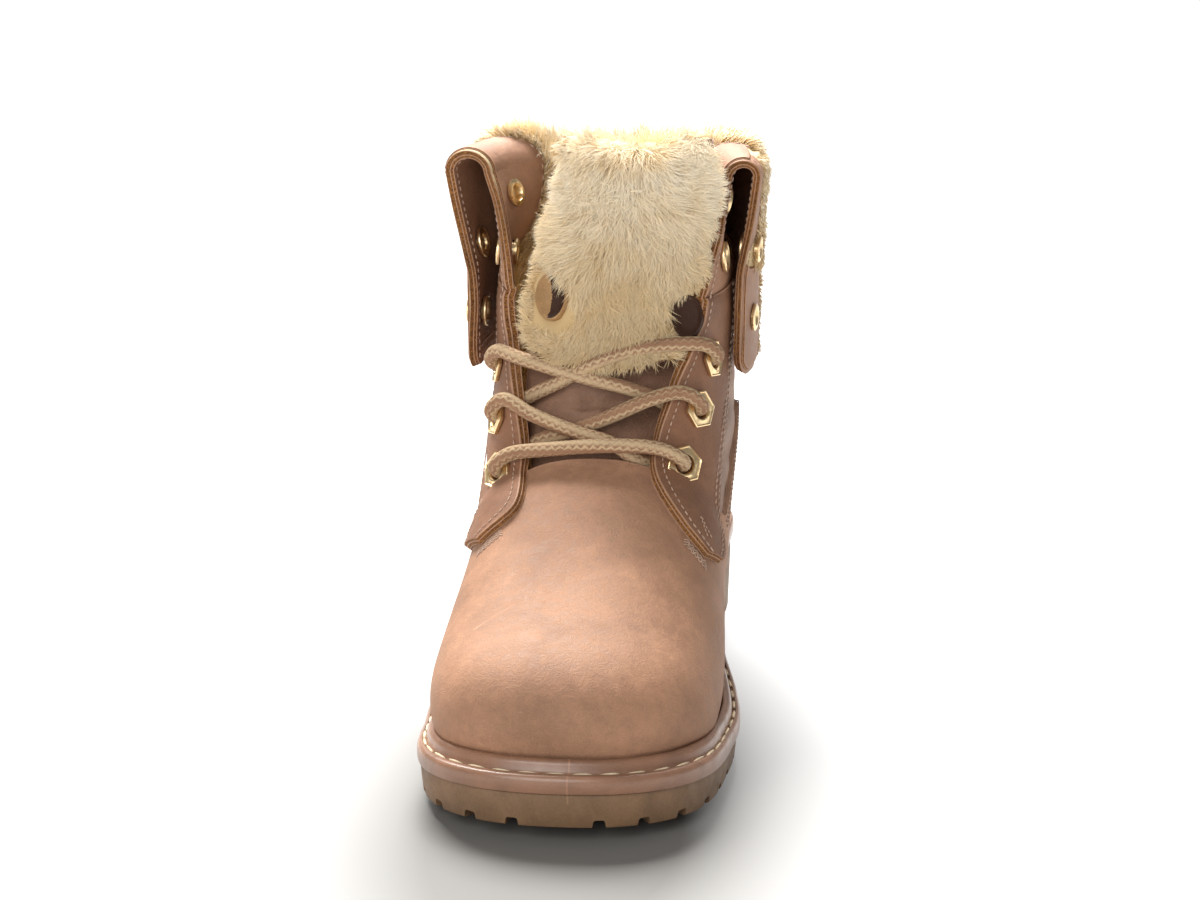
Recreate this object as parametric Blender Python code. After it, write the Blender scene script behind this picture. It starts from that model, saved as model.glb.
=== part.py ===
"""Fold-down, fur-lined, lace-up ankle boot with a storm-welted lug sole, for the right foot.

Lengths in the tables are millimetres. Along the boot, s runs from the tip of the sole at the toe
to the back of the heel; x runs from the lateral side to the medial side; z is the height above
the floor. Every section of the upper is one superellipse on a plane that leans from the ridge of
the boot to the feather line, and the planes fan from level at the toe, through upright at the
ball, back to level at the ankle.
"""
import math
from types import SimpleNamespace

import bpy
import numpy as np

MM = 0.001
GAP = 0.3                      # clearance where curved pieces meet
RIM_GAP = 0.45                 # between the upper's foot and the welt, which curve differently

# ---------------------------------------------------------------- driving sizes
ORIGIN_S = 136.6               # s under the middle of the boot's box
ORIGIN_X = -4.0                # x under the middle of the boot's box
WELT_THICKNESS = 5.8
FOREFOOT_HEIGHT = 17.5         # welt's top above the floor at the ball
HEEL_RISE = 18.5               # how much higher the welt's top is at the heel
SPRING_START = 96.0            # where the toe spring begins
SPRING_EVEN = 56.0             # in front of here the spring is an even slope
SPRING_SLOPE = 0.085

FEATHER_TOE = 13.5             # ends of the feather line, where upper and welt meet
FEATHER_HEEL = 263.5
TOE_CAP = 42.5                 # length of the rounded toe end of the feather line
HEEL_CAP = 35.5
TOE_POWER = 2.4
HEEL_POWER = 2.2

SIDE_MARGIN = 7.8              # welt beyond the feather line at the sides
TOE_MARGIN = 3.2               # and how much more of it at the toe

WALL = 3.8                     # two skins of leather and the foam between them
FUR_WALL = 8.5                 # leather with the fur lining of the quarters
CUFF_WALL = 10.0               # leather with the long fur of the collar
FACING_WIDTH = 34.0            # leather-lined strip behind each front edge
FUR_RAMP = 7.0                 # over which the wall swells from facing to fur

LUG_DEPTH = 3.5
LUG_PITCH = 14.6
GROOVE_WIDTH = 5.0
TREAD_END = 128.0              # back end of the forefoot tread
WAIST_START = 134.0
BREAST_TOP = 196.0
HEEL_BREAST = 200.0
SOLE_INSET = 1.0               # rubber stands this far inside the welt's edge
WAIST_RUBBER = 8.5             # thickness of the rubber under the arch
SIDE_GROOVE = 21.0             # how far the notches run in from the edge
END_GROOVE = 13.0
CHEVRON_ARM = 15.0
CHEVRON_WIDTH = 4.0
TREAD_MIDDLE = -1.5            # middle of the tread, across the boot
BEAD_WIDTH = 4.6               # outer edge of the welt's bead from the feather line
BEAD_HEIGHT = 2.7
INSOLE_THICK = 5.0
INSOLE_ROOM = 1.5              # clear of the wall all round
HEEL_ROOM = 2.5                # and more at the heel's end, where the wall leans in
TONGUE_FOLD = 10.0             # row of the tongue's table at the fold

LACE_DIAMETER = 5.0
HEX_FLATS = 12.0               # hexagonal eyelet across its flats
HEX_HOLE = 6.4
ROUND_FLANGE = 11.0
ROUND_HOLE = 5.6
EYELET_BARREL = 7.2
FLANGE_THICK = 0.9
WASHER = 9.6                   # outer diameter of an eyelet's washer, on the lining side
CONVEX_SEAT = 0.5              # a flat flange above the wall's outer side
CONCAVE_SEAT = 1.2             # and above its hollow side
INSTEP_SEAT = 1.4              # and where the wall curves both ways
HEX_SEGMENTS = 12               # twice the corners, so that the flats come out flat
ROUND_SEGMENTS = 8
LACE_RISE = 6.7                # of the lace's middle above the leather at an eyelet
EDGE_TO_LACE = 2.5             # where a strand crosses the front edge of a facing
EDGE_RISE = 5.3                # and how high its middle passes over it
EDGE_TO_EYELET = 12.0          # from a front edge to the middle of an eyelet


# ---------------------------------------------------------------- smooth tables
def smooth(knots, values, at):
    """Read rows of values as smooth curves along the knots."""
    knots = np.asarray(knots, float)
    values = np.asarray(values, float)
    at = np.clip(np.asarray(at, float), knots[0], knots[-1])
    slopes = np.gradient(values, knots, axis=0)
    index = np.clip(np.searchsorted(knots, at, side="right") - 1, 0, len(knots) - 2)
    step = knots[index + 1] - knots[index]
    u = (at - knots[index]) / step
    if values.ndim > 1:
        u = u[..., None]
        step = step[..., None]
    start, end = values[index], values[index + 1]
    rise_start, rise_end = slopes[index] * step, slopes[index + 1] * step
    return (start * (1 + 2 * u) * (1 - u) ** 2 + rise_start * u * (1 - u) ** 2
            + end * u * u * (3 - 2 * u) + rise_end * u * u * (u - 1))


class Table:
    """Rows with named columns, read as smooth curves from row to row or along one column."""

    def __init__(self, names, rows, along=None):
        self.names = names.split()
        self.rows = np.array(rows, float)
        self.knots = np.arange(len(rows)) if along is None else self.rows[:, self.names.index(along)]

    def at(self, where):
        values = smooth(self.knots, self.rows, where)
        return SimpleNamespace(**{name: values[..., i] for i, name in enumerate(self.names)})


def ease(u):
    """Smooth step from 0 to 1."""
    u = np.clip(u, 0.0, 1.0)
    return u * u * (3 - 2 * u)


# ---------------------------------------------------------------- plan and heights
FEATHER = Table("s lateral medial", [
    (0, 44.0, 40.4),
    (56, 44.0, 40.4),
    (80, 45.4, 42.0),
    (100, 44.4, 39.8),
    (125, 39.8, 34.8),
    (150, 35.2, 30.6),
    (175, 32.2, 29.2),
    (205, 31.6, 30.8),
    (228, 31.8, 32.2),
    (272, 31.8, 32.2),
], along="s")
TOE_CENTRE = -3.2              # the toe's tip, across the boot

RISE = Table("s share", [
    (-10, 0), (100, 0), (128, 0.17), (160, 0.50), (190, 0.76), (220, 0.92), (250, 0.98), (280, 1.0),
], along="s")


def spring(s):
    """Height of the toe spring."""
    curve = SPRING_SLOPE / (2 * (SPRING_START - SPRING_EVEN))
    bent = curve * np.clip(SPRING_START - s, 0, SPRING_START - SPRING_EVEN) ** 2
    return bent + SPRING_SLOPE * np.clip(SPRING_EVEN - s, 0, None)


def welt_top(s):
    """Height of the welt's top face."""
    return FOREFOOT_HEIGHT + spring(s) + HEEL_RISE * RISE.at(s).share


def end_share(s):
    """How much of its full width the feather line keeps towards its rounded ends."""
    toe = np.clip((FEATHER_TOE + TOE_CAP - s) / TOE_CAP, 0, 1)
    heel = np.clip((s - FEATHER_HEEL + HEEL_CAP) / HEEL_CAP, 0, 1)
    return (1 - toe ** TOE_POWER) ** (1 / TOE_POWER) * (1 - heel ** HEEL_POWER) ** (1 / HEEL_POWER)


def feather_centre(s):
    """Middle of the feather line, across the boot."""
    row = FEATHER.at(s)
    middle = (row.medial - row.lateral) / 2
    toe = ease((FEATHER_TOE + TOE_CAP + 12 - s) / 50)
    return middle + (TOE_CENTRE - middle) * toe


def feather_half(s):
    """Half the width inside the feather line."""
    row = FEATHER.at(s)
    return (row.lateral + row.medial) / 2 * end_share(s)


def end_stations(count_toe, count_middle, count_heel):
    """Stations along the boot, close together round its two ends."""
    toe = np.linspace(0, math.pi / 2, count_toe + 1)
    heel = np.linspace(math.pi / 2, 0, count_heel + 1)
    front = FEATHER_TOE + TOE_CAP * (1 - np.cos(toe) ** (2 / TOE_POWER))
    back = FEATHER_HEEL - HEEL_CAP * (1 - np.cos(heel) ** (2 / HEEL_POWER))
    middle = np.linspace(front[-1], back[0], count_middle + 2)[1:-1]
    return np.concatenate([front, middle, back])


def offset_outline(stations, margin):
    """The feather line moved outwards by margin(s): one row (x, s) a station, for each side."""
    sides = []
    for sign in (-1, 1):
        x = feather_centre(stations) + sign * feather_half(stations)
        line = np.column_stack([x, stations])
        tangent = np.gradient(line, axis=0)
        tangent[0] = (sign, 0)
        tangent[-1] = (-sign, 0)
        normal = np.column_stack([tangent[:, 1], -tangent[:, 0]]) * sign
        normal /= np.linalg.norm(normal, axis=1)[:, None]
        sides.append(line + normal * margin(stations)[:, None])
    return sides


def welt_margin(s):
    """How far the welt stands out from the feather line: most at the toe."""
    return SIDE_MARGIN + TOE_MARGIN * ease((50 - s) / 40) - 0.6 * ease((s - 170) / 40)


# ---------------------------------------------------------------- mesh helpers
def weld(points, faces):
    """Merge points that coincide and drop the faces that collapse."""
    keys = np.round(np.asarray(points) / 1e-4).astype(np.int64)
    _, first, back = np.unique(keys, axis=0, return_index=True, return_inverse=True)
    back = back.reshape(-1)
    kept = []
    for face in faces:
        ring = [back[i] for i in face]
        ring = [v for k, v in enumerate(ring) if v != ring[k - 1]]
        if len(ring) > 2:
            kept.append(ring)
    return np.asarray(points)[first], kept


def grid_faces(rows, columns, start=0):
    """Quads of a grid of points stored row by row."""
    return [(start + r * columns + c, start + r * columns + c + 1,
             start + (r + 1) * columns + c + 1, start + (r + 1) * columns + c)
            for r in range(rows - 1) for c in range(columns - 1)]


def point_normals(points, faces):
    """Area-weighted normal at each point."""
    normals = np.zeros_like(points)
    for face in faces:
        ring = points[face]
        area = np.zeros(3)
        for k in range(1, len(ring) - 1):
            area += np.cross(ring[k] - ring[0], ring[k + 1] - ring[0])
        normals[face] += area
    return normals / np.linalg.norm(normals, axis=1)[:, None]


def shell(points, faces, thickness, level):
    """Give an open surface a wall on its inner side; level marks points whose rim stays level."""
    normals = point_normals(points, faces)
    normals[level, 2] = 0
    normals /= np.linalg.norm(normals, axis=1)[:, None]
    inner = points - normals * thickness[:, None]
    count = len(points)
    both = [list(f) for f in faces] + [[v + count for v in reversed(f)] for f in faces]
    used = {}
    for face in faces:
        for k, v in enumerate(face):
            edge = (face[k - 1], v)
            used[edge] = used.get(edge, 0) + 1
    for a, b in used:
        if (b, a) not in used:
            both.append([b, a, a + count, b + count])
    return np.vstack([points, inner]), both


def world(points):
    """Shoe sizes (x, s, z) to metres in the scene, toe towards -Y and medial side towards +X."""
    p = np.asarray(points, float)
    return np.column_stack([p[:, 0] - ORIGIN_X, p[:, 1] - ORIGIN_S, p[:, 2]]) * MM


def make_object(name, points, faces, finish):
    """A node of the boot from points in shoe sizes."""
    mesh = bpy.data.meshes.new(name)
    mesh.from_pydata(world(points).tolist(), [], [tuple(int(v) for v in f) for f in faces])
    mesh.validate()
    mesh.shade_smooth()
    mesh.set_sharp_from_angle(angle=math.radians(35))
    mesh.materials.append(finish)
    obj = bpy.data.objects.new(name, mesh)
    bpy.context.collection.objects.link(obj)
    return obj


def boolean(obj, operation, other, self_crossing=False):
    """Cut or join with another mesh, which the build leaves out."""
    other.hide_render = True
    other.display_type = "WIRE"
    step = obj.modifiers.new(operation.lower(), "BOOLEAN")
    step.operation = operation
    step.object = other
    step.solver = "EXACT"
    step.use_self = self_crossing


def material(name, color, roughness, metallic=0.0):
    """A plain Principled material."""
    finish = bpy.data.materials.new(name)
    finish.use_nodes = True
    shader = finish.node_tree.nodes["Principled BSDF"]
    shader.inputs["Base Color"].default_value = (*color, 1.0)
    shader.inputs["Roughness"].default_value = roughness
    shader.inputs["Metallic"].default_value = metallic
    return finish


# ---------------------------------------------------------------- sections of the upper
# crown: where the two sides meet, or would meet if the throat were closed. base: on the feather
# line, then up the back of the heel at base_z. lateral, medial: greatest half widths. throat_*:
# half width of the strip that is vamp below the throat and open above it. belly: share of the
# section's height where it is widest. power, low_power: squareness above and below the belly.
UPPER = Table("crown_x crown_s crown_z base_s base_z lateral medial throat_lateral throat_medial"
              " belly power low_power", [
    (-3.2, 13.5, 21.8, 56.0, 18.2, 44.0, 40.4, 10, 10, 0.00, 2.40, 2.00),
    (-3.2, 11.8, 28.5, 58.0, 18.0, 45.0, 41.5, 12, 11, 0.10, 2.40, 2.00),
    (-3.2, 11.6, 36.0, 61.5, 17.8, 46.2, 42.8, 13, 12, 0.16, 2.40, 2.00),
    (-3.2, 14.2, 43.6, 66.0, 17.7, 47.0, 43.6, 14, 12, 0.20, 2.40, 2.00),
    (-3.2, 20.8, 50.2, 71.5, 17.6, 47.6, 44.1, 15, 13, 0.23, 2.40, 2.00),
    (-3.0, 30.5, 54.8, 78.0, 17.5, 48.0, 44.5, 16, 13, 0.25, 2.40, 2.00),
    (-2.8, 43.0, 57.8, 85.0, 17.5, 48.2, 44.7, 17, 14, 0.26, 2.40, 2.00),
    (-2.5, 59.0, 61.6, 92.5, 17.5, 48.0, 44.6, 18, 14, 0.27, 2.40, 2.00),
    (-2.2, 77.0, 67.2, 101.5, 17.5, 47.4, 44.2, 19, 15, 0.28, 2.40, 2.00),
    (-2.0, 94.0, 74.4, 112.0, 18.1, 46.4, 43.5, 21, 15, 0.29, 2.35, 2.00),
    (-1.8, 108.5, 82.0, 124.0, 20.0, 45.2, 42.6, 23, 16, 0.31, 2.35, 2.00),
    (-1.5, 121.5, 90.0, 137.0, 22.8, 44.0, 41.8, 24, 17, 0.34, 2.30, 2.00),
    (-1.2, 126.2, 99.8, 151.0, 25.4, 43.5, 41.4, 26, 19, 0.38, 2.30, 2.00),
    (-0.9, 129.6, 110.9, 168.5, 28.6, 43.0, 41.3, 28.5, 22, 0.42, 2.25, 2.00),
    (-0.6, 131.6, 122.9, 190.0, 31.6, 42.8, 41.4, 31, 25, 0.45, 2.20, 2.00),
    (-0.3, 131.6, 133.8, 216.0, 34.3, 42.8, 41.6, 33, 28, 0.48, 2.10, 2.00),
    (-0.1, 129.1, 144.0, 243.0, 35.5, 42.6, 41.5, 34.5, 30, 0.51, 2.00, 2.05),
    (0.0, 125.3, 149.5, 263.5, 36.1, 42.4, 41.3, 35.5, 31.5, 0.53, 2.00, 2.15),
    (0.0, 122.0, 151.0, 266.8, 57.0, 42.3, 41.1, 36.0, 32.3, 0.54, 2.00, 2.10),
    (0.0, 121.6, 149.0, 263.0, 85.0, 42.2, 41.0, 36.3, 32.7, 0.53, 2.00, 2.05),
    (0.0, 122.4, 144.8, 257.5, 113.0, 42.2, 41.0, 36.4, 33.0, 0.52, 2.00, 2.00),
    (0.0, 123.6, 139.6, 254.0, 139.6, 42.2, 41.0, 36.4, 33.0, 0.52, 2.00, 2.00),
])
THROAT_ROW = 11                # the vamp's top edge
HEEL_ROW = 17                  # where the feather line ends at the back
SEAM_ROW = 21                  # the level seam under the collar
SIDE_COLUMNS = 11
TOP_COLUMNS = 2
HEEL_STEPS = (15.5, 16.0, 16.4, 16.7, 16.87, 16.96)    # rows close together round the heel's end
TOE_STEPS = (2.5, 3.5, 4.5)
WAIST_STEPS = (13.5, 14.5)
LINE_POINTS = 160


def base_half(s):
    """Half widths from x = 0 to the feather line, lateral then medial."""
    centre, half = float(feather_centre(np.array(s))), float(feather_half(np.array(s)))
    return half - centre, half + centre


def side_line(row, sign, low):
    """One side of a section as points from its base to its crown, with its own half widths."""
    half = float(row.lateral if sign < 0 else row.medial)
    belly, power, low_power = max(float(row.belly), 0.0), float(row.power), float(row.low_power)
    rest = max(1 - (low / half) ** low_power, 1e-6) ** (1 / low_power)
    first = -math.asin(min(rest, 1.0) ** (low_power / 2))
    turn = np.linspace(first, math.pi / 2, LINE_POINTS)
    power = np.where(turn > 0, power, low_power)
    climb = np.sign(turn) * np.abs(np.sin(turn)) ** (2 / power)
    width = half * np.cos(turn) ** (2 / power)
    v = belly + climb * np.where(turn > 0, 1 - belly, belly / rest)
    x = row.crown_x * ease(v) + sign * width
    s = row.base_s + (row.crown_s - row.base_s) * v
    z = row.base_z + (row.crown_z - row.base_z) * v
    return np.column_stack([x, s, z]), width


def toe_line(sign):
    """One side of the first section, which lies along the feather line round the toe."""
    turn = np.linspace(math.pi / 2, 0, LINE_POINTS)
    s = FEATHER_TOE + TOE_CAP * (1 - np.cos(turn) ** (2 / TOE_POWER))
    half = feather_half(s)
    x = feather_centre(s) + sign * half
    return np.column_stack([x, s, welt_top(s) + RIM_GAP]), half


def split_line(line, width, throat, side_shares, top_shares):
    """Points at shares of the way from the base to the throat line, and on to the crown."""
    arc = np.concatenate([[0], np.cumsum(np.linalg.norm(np.diff(line, axis=0), axis=1))])
    peak = int(np.argmax(width))
    reach = float(np.interp(-throat, -width[peak:], arc[peak:]))
    where = np.concatenate([side_shares * reach, reach + top_shares * (arc[-1] - reach)])
    return np.column_stack([np.interp(where, arc, line[:, i]) for i in range(3)]), reach


def upper_side(t, sign, side_shares, top_shares=np.empty(0)):
    """One side of the upper's section at row t, which may lie between two rows."""
    row = UPPER.at(t)
    low = 0.0
    if t <= 0:
        line, width = toe_line(sign)
    else:
        if t < HEEL_ROW:
            row.base_z = welt_top(row.base_s) + RIM_GAP
            low = base_half(row.base_s)[0 if sign < 0 else 1]
        line, width = side_line(row, sign, low)
    throat = float(row.throat_lateral if sign < 0 else row.throat_medial)
    return split_line(line, width, throat, side_shares, top_shares)


def wall(from_edge, deep):
    """Wall thickness: leather facing behind a front edge, then deep lining."""
    return WALL + (deep - WALL) * ease((from_edge - FACING_WIDTH) / FUR_RAMP)


def build_upper(finish):
    """Vamp and quarters: one hollow wall, open at the throat, the collar seam and underneath."""
    rows = sorted([*range(HEEL_ROW - 1), *TOE_STEPS, *WAIST_STEPS, *HEEL_STEPS])
    rows += [HEEL_ROW + 0.5 * k for k in range(2 * (SEAM_ROW - HEEL_ROW) + 1)]
    shares = 1 - (1 - np.linspace(0, 1, SIDE_COLUMNS)) ** 1.25
    tops = np.linspace(0, 1, TOP_COLUMNS + 1)[1:]
    points, faces, thickness, level = [], [], [], []
    columns = 2 * (SIDE_COLUMNS + TOP_COLUMNS) - 1
    for t in rows:
        sides = []
        for sign in (-1, 1):
            line, reach = upper_side(t, sign, shares, tops)
            sides.append(line)
            from_edge = np.concatenate([reach * (1 - shares), np.zeros(len(tops))])
            back = ease((t - 8.0) / 4.0)
            thickness.append(WALL + (wall(from_edge, FUR_WALL) - WALL) * back)
        lateral, medial = sides
        points.extend(lateral)
        points.extend(medial[-2::-1])
        thickness[-1] = thickness[-1][-2::-1]
        mark = np.zeros(columns, bool)
        mark[[0, -1]] = t <= HEEL_ROW
        mark[:] |= t == 0 or t == SEAM_ROW
        level.extend(mark)
    throat_at = rows.index(THROAT_ROW)
    for r in range(len(rows) - 1):
        for c in range(columns - 1):
            in_throat = SIDE_COLUMNS - 1 <= c < columns - SIDE_COLUMNS
            if not (in_throat and r >= throat_at):
                a = r * columns + c
                faces.append((a, a + 1, a + columns + 1, a + columns))
    points = np.array(points)
    thickness = np.concatenate(thickness)
    level = np.array(level)
    return make_shell("upper", points, faces, thickness, level, finish)


def make_shell(name, points, faces, thickness, level, finish):
    """Weld a grid, give it its wall and make it a node."""
    tagged, kept = weld(points, faces)
    order = {tuple(np.round(p / 1e-4).astype(np.int64)): i for i, p in enumerate(points)}
    source = [order[tuple(np.round(p / 1e-4).astype(np.int64))] for p in tagged]
    used = sorted({v for f in kept for v in f})
    where = {v: i for i, v in enumerate(used)}
    kept = [[where[v] for v in f] for f in kept]
    source = np.array(source)[used]
    solid, sides = shell(tagged[used], kept, thickness[source], level[source])
    return make_object(name, solid, sides, finish)


# ---------------------------------------------------------------- collar
# Level sections of the leather's grain side. edge_*: s of the front edge on each side;
# throat_*: its half width; flare_*: how far the front edge turns outwards.
STANDING = Table("z back_s edge_lateral edge_medial lateral medial throat_lateral throat_medial"
                 " flare_lateral flare_medial", [
    (139.9, 254.0, 154.5, 149.0, 42.2, 41.0, 36.4, 33.0, 0.0, 0.0),
    (148.0, 253.2, 157.8, 153.6, 41.6, 40.5, 37.6, 35.0, 1.0, 0.6),
    (158.0, 252.6, 161.8, 159.6, 41.0, 40.0, 39.6, 37.2, 3.4, 2.0),
    (168.0, 252.2, 165.6, 164.6, 40.6, 39.7, 42.2, 38.8, 6.4, 3.4),
    (180.0, 252.0, 170.0, 169.2, 40.4, 39.4, 46.4, 41.0, 10.0, 5.4),
], along="z")
HANGING = Table("z back_s edge_lateral edge_medial lateral medial throat_lateral throat_medial"
                " flare_lateral flare_medial", [
    (104.0, 260.4, 166.0, 166.0, 46.4, 45.2, 47.6, 41.2, 4.0, 0.0),
    (122.0, 260.4, 167.0, 167.0, 46.4, 45.2, 47.8, 41.4, 4.0, 0.0),
    (136.0, 260.4, 168.0, 168.0, 46.4, 45.2, 48.0, 41.5, 4.2, 0.0),
    (143.0, 260.2, 170.5, 170.5, 46.6, 45.2, 48.6, 41.8, 4.6, 0.2),
    (150.0, 260.0, 174.0, 174.0, 46.8, 45.2, 51.0, 43.0, 6.0, 1.2),
    (164.0, 259.6, 173.5, 173.5, 47.6, 45.4, 54.4, 45.4, 8.6, 3.2),
    (180.0, 259.0, 171.0, 171.0, 48.4, 45.8, 57.2, 47.6, 10.4, 5.4),
], along="z")
COLLAR_BELLY = 0.52
FLARE_REACH = 42.0             # how far behind a front edge its flare starts
CREST_FRONT = 177.0            # height where the fold begins, at the front edges
CREST_DROP = 11.0              # how much lower it is at the back
FOLD_SQUASH = 0.85
HEM_HEIGHT = 107.0             # bottom edge of the hanging cuff
HEM_CORNER = 9.0               # radius of its front corners
COLLAR_SHARES = np.array([0.0, 0.03, 0.07, 0.13, 0.19, 0.24, 0.285, 0.34, 0.42, 0.51, 0.6, 0.7, 0.8, 0.9, 1.0])
STANDING_ROWS = 5
FOLD_ROWS = 5
HANGING_ROWS = 6


def collar_side(table, z, sign, shares):
    """Grain side of one level section, at shares of the way from its front edge to the back."""
    row = table.at(z)
    half, throat, edge, flare = ((row.lateral, row.throat_lateral, row.edge_lateral, row.flare_lateral)
                                 if sign < 0 else
                                 (row.medial, row.throat_medial, row.edge_medial, row.flare_medial))
    straight = throat - flare
    reach = COLLAR_BELLY + (1 - COLLAR_BELLY) * max(1 - (straight / half) ** 2, 1e-6) ** 0.5
    crown = row.back_s - (row.back_s - edge) / reach
    level = SimpleNamespace(crown_x=0.0, crown_s=crown, crown_z=z, base_s=row.back_s, base_z=z,
                            lateral=half, medial=half, belly=COLLAR_BELLY,
                            power=2.0, low_power=2.0)
    line, width = side_line(level, sign, 0.0)
    points, length = split_line(line, width, straight, 1 - shares, np.empty(0))
    points[:, 0] += sign * flare * np.clip(1 - shares * length / FLARE_REACH, 0, None) ** 2
    return points, length


def collar_column(table, sign, shares, heights):
    """Points of each column at its own heights: an array of heights by shares."""
    levels = table.rows[:, 0]
    stack = np.array([collar_side(table, z, sign, shares)[0] for z in levels])
    out = np.empty(heights.shape + (3,))
    for c in range(len(shares)):
        out[:, c] = smooth(levels, stack[:, c], heights[:, c])
    return out


def collar_grain(sign, shares, standing=STANDING_ROWS, fold=FOLD_ROWS, hanging=HANGING_ROWS):
    """Grain side of one half of the collar: up the shaft, over the fold and down to the hem."""
    length = collar_side(STANDING, 160.0, sign, shares)[1]
    crest = CREST_FRONT - CREST_DROP * ease(shares / 0.85)
    corner = np.clip(1 - shares * length / HEM_CORNER, 0, 1)
    hem = HEM_HEIGHT + HEM_CORNER * (1 - np.sqrt(1 - corner ** 2))
    bottom = STANDING.rows[0, 0]
    up = bottom + (crest - bottom) * np.linspace(0, 1, standing + 1)[:, None]
    down = crest + (hem - crest) * np.linspace(0, 1, hanging + 1)[:, None]
    inside = collar_column(STANDING, sign, shares, up)
    outside = collar_column(HANGING, sign, shares, down)
    middle = (inside[-1] + outside[0]) / 2
    arm = inside[-1] - middle
    turn = np.linspace(0, math.pi, fold + 1)[1:-1, None, None]
    lift = np.linalg.norm(arm, axis=1)[:, None] * FOLD_SQUASH * np.array([0, 0, 1.0])
    over = middle + arm * np.cos(turn) + lift * np.sin(turn)
    return np.concatenate([inside, over, outside]), length


def build_shaft(finish):
    """The collar: sewn on above the quarters, folded outwards, hanging with its fur outside."""
    halves = []
    for sign in (-1, 1):
        grid, length = collar_grain(sign, COLLAR_SHARES)
        halves.append((grid, wall(COLLAR_SHARES * length, CUFF_WALL)))
    (lateral, thick_lateral), (medial, thick_medial) = halves
    grid = np.concatenate([lateral, medial[:, -2::-1]], axis=1)
    thick = np.concatenate([thick_lateral, thick_medial[-2::-1]])
    rows, columns = grid.shape[:2]
    points = grid.reshape(-1, 3)
    level = np.zeros((rows, columns), bool)
    level[0] = True
    faces = [face[::-1] for face in grid_faces(rows, columns)]
    return make_shell("shaft", points, faces, np.tile(thick, rows), level.reshape(-1), finish)


# ---------------------------------------------------------------- sole
SOLE_STATIONS = end_stations(9, 19, 9)


def rings(stations, margins_and_heights):
    """Rings round the boot, each from its margin and its height as functions of s."""
    out = []
    for margin, height in margins_and_heights:
        lateral, medial = offset_outline(stations, margin)
        ring = np.vstack([lateral, medial[-2:0:-1]])
        out.append(np.column_stack([ring, height(ring[:, 1])]))
    return out


def ring_solid(stack):
    """Closed solid through rings, from the middle of the bottom face out and up to the top's."""
    count = len(stack[0])
    half = count // 2
    faces = []
    for r in range(len(stack) - 1):
        for k in range(count):
            n = (k + 1) % count
            faces.append((r * count + n, r * count + k, (r + 1) * count + k, (r + 1) * count + n))
    for start, top in ((0, False), ((len(stack) - 1) * count, True)):
        for k in range(half):
            ring = dict.fromkeys((k, k + 1, (count - k - 1) % count, (count - k) % count))
            face = [start + v for v in ring]
            faces.append(face[::-1] if top else face)
    return np.vstack(stack), faces


def sole_bottom(s):
    """Height of the underside: tread, waist and heel."""
    waist = welt_top(s) - WELT_THICKNESS - GAP - WAIST_RUBBER
    into = np.clip((s - TREAD_END) / (WAIST_START - TREAD_END), 0, 1)
    out = np.clip((HEEL_BREAST - s) / (HEEL_BREAST - BREAST_TOP), 0, 1)
    return np.where(s < WAIST_START, spring(s) + (waist - spring(s)) * into, waist * out)


def groove(centre, direction, length, width, height):
    """A groove's cutter: a bar with leaning sides, from centre along direction."""
    direction = np.array(direction, float)
    direction /= np.linalg.norm(direction)
    side = np.array([-direction[1], direction[0]])
    points = []
    for z, share in ((-2.0, 1.3), (height, 0.7)):
        for along in (0.0, length):
            for across in (-1, 1):
                xy = np.array(centre) + direction * along + side * across * share * width / 2
                points.append((xy[0], xy[1], z))
    faces = [(0, 1, 3, 2), (4, 6, 7, 5), (0, 4, 5, 1), (2, 3, 7, 6), (0, 2, 6, 4), (1, 5, 7, 3)]
    return points, faces


def joined(name, shapes, finish):
    """One mesh of several closed shapes."""
    points, faces = [], []
    for shape_points, shape_faces in shapes:
        faces.extend([tuple(v + len(points) for v in f) for f in shape_faces])
        points.extend(shape_points)
    return make_object(name, points, faces, finish)


def side_grooves():
    """Cutters of the notches round the edge of tread and heel, square to the outline."""
    fine = end_stations(60, 200, 60)
    shapes = []
    for line, sign in zip(offset_outline(fine, lambda s: welt_margin(s) - SOLE_INSET), (-1, 1)):
        arc = np.concatenate([[0], np.cumsum(np.linalg.norm(np.diff(line, axis=0), axis=1))])
        count = int(arc[-1] / LUG_PITCH)
        start = (arc[-1] - (count - 1) * LUG_PITCH) / 2
        for k in range(count):
            at = start + k * LUG_PITCH
            spot = np.array([np.interp(at, arc, line[:, i]) for i in range(2)])
            ahead = np.array([np.interp(at + 1, arc, line[:, i]) for i in range(2)])
            if TREAD_END - 5 < spot[1] < HEEL_BREAST + 6:
                continue
            along = (ahead - spot) / np.linalg.norm(ahead - spot)
            inward = np.array([along[1], -along[0]]) * (1 if sign < 0 else -1)
            end = spot[1] < 32 or spot[1] > 244
            length = END_GROOVE if end else SIDE_GROOVE
            depth = float(sole_bottom(spot[1])) + LUG_DEPTH
            shapes.append(groove(spot - inward * 4, inward, length + 4, GROOVE_WIDTH, depth))
    return shapes


def middle_grooves():
    """Cutters of the chevrons down the middle of tread and heel."""
    shapes = []
    for first, last in ((34.0, 120.0), (214.0, 250.0)):
        for k in range(int((last - first) / LUG_PITCH) + 1):
            s = first + k * LUG_PITCH
            depth = float(sole_bottom(s)) + LUG_DEPTH
            for sign in (-1, 1):
                centre = (TREAD_MIDDLE + sign * 2.6, s - 2.0)
                shapes.append(groove(centre, (sign, 0.55), CHEVRON_ARM, CHEVRON_WIDTH, depth))
    return shapes


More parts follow.
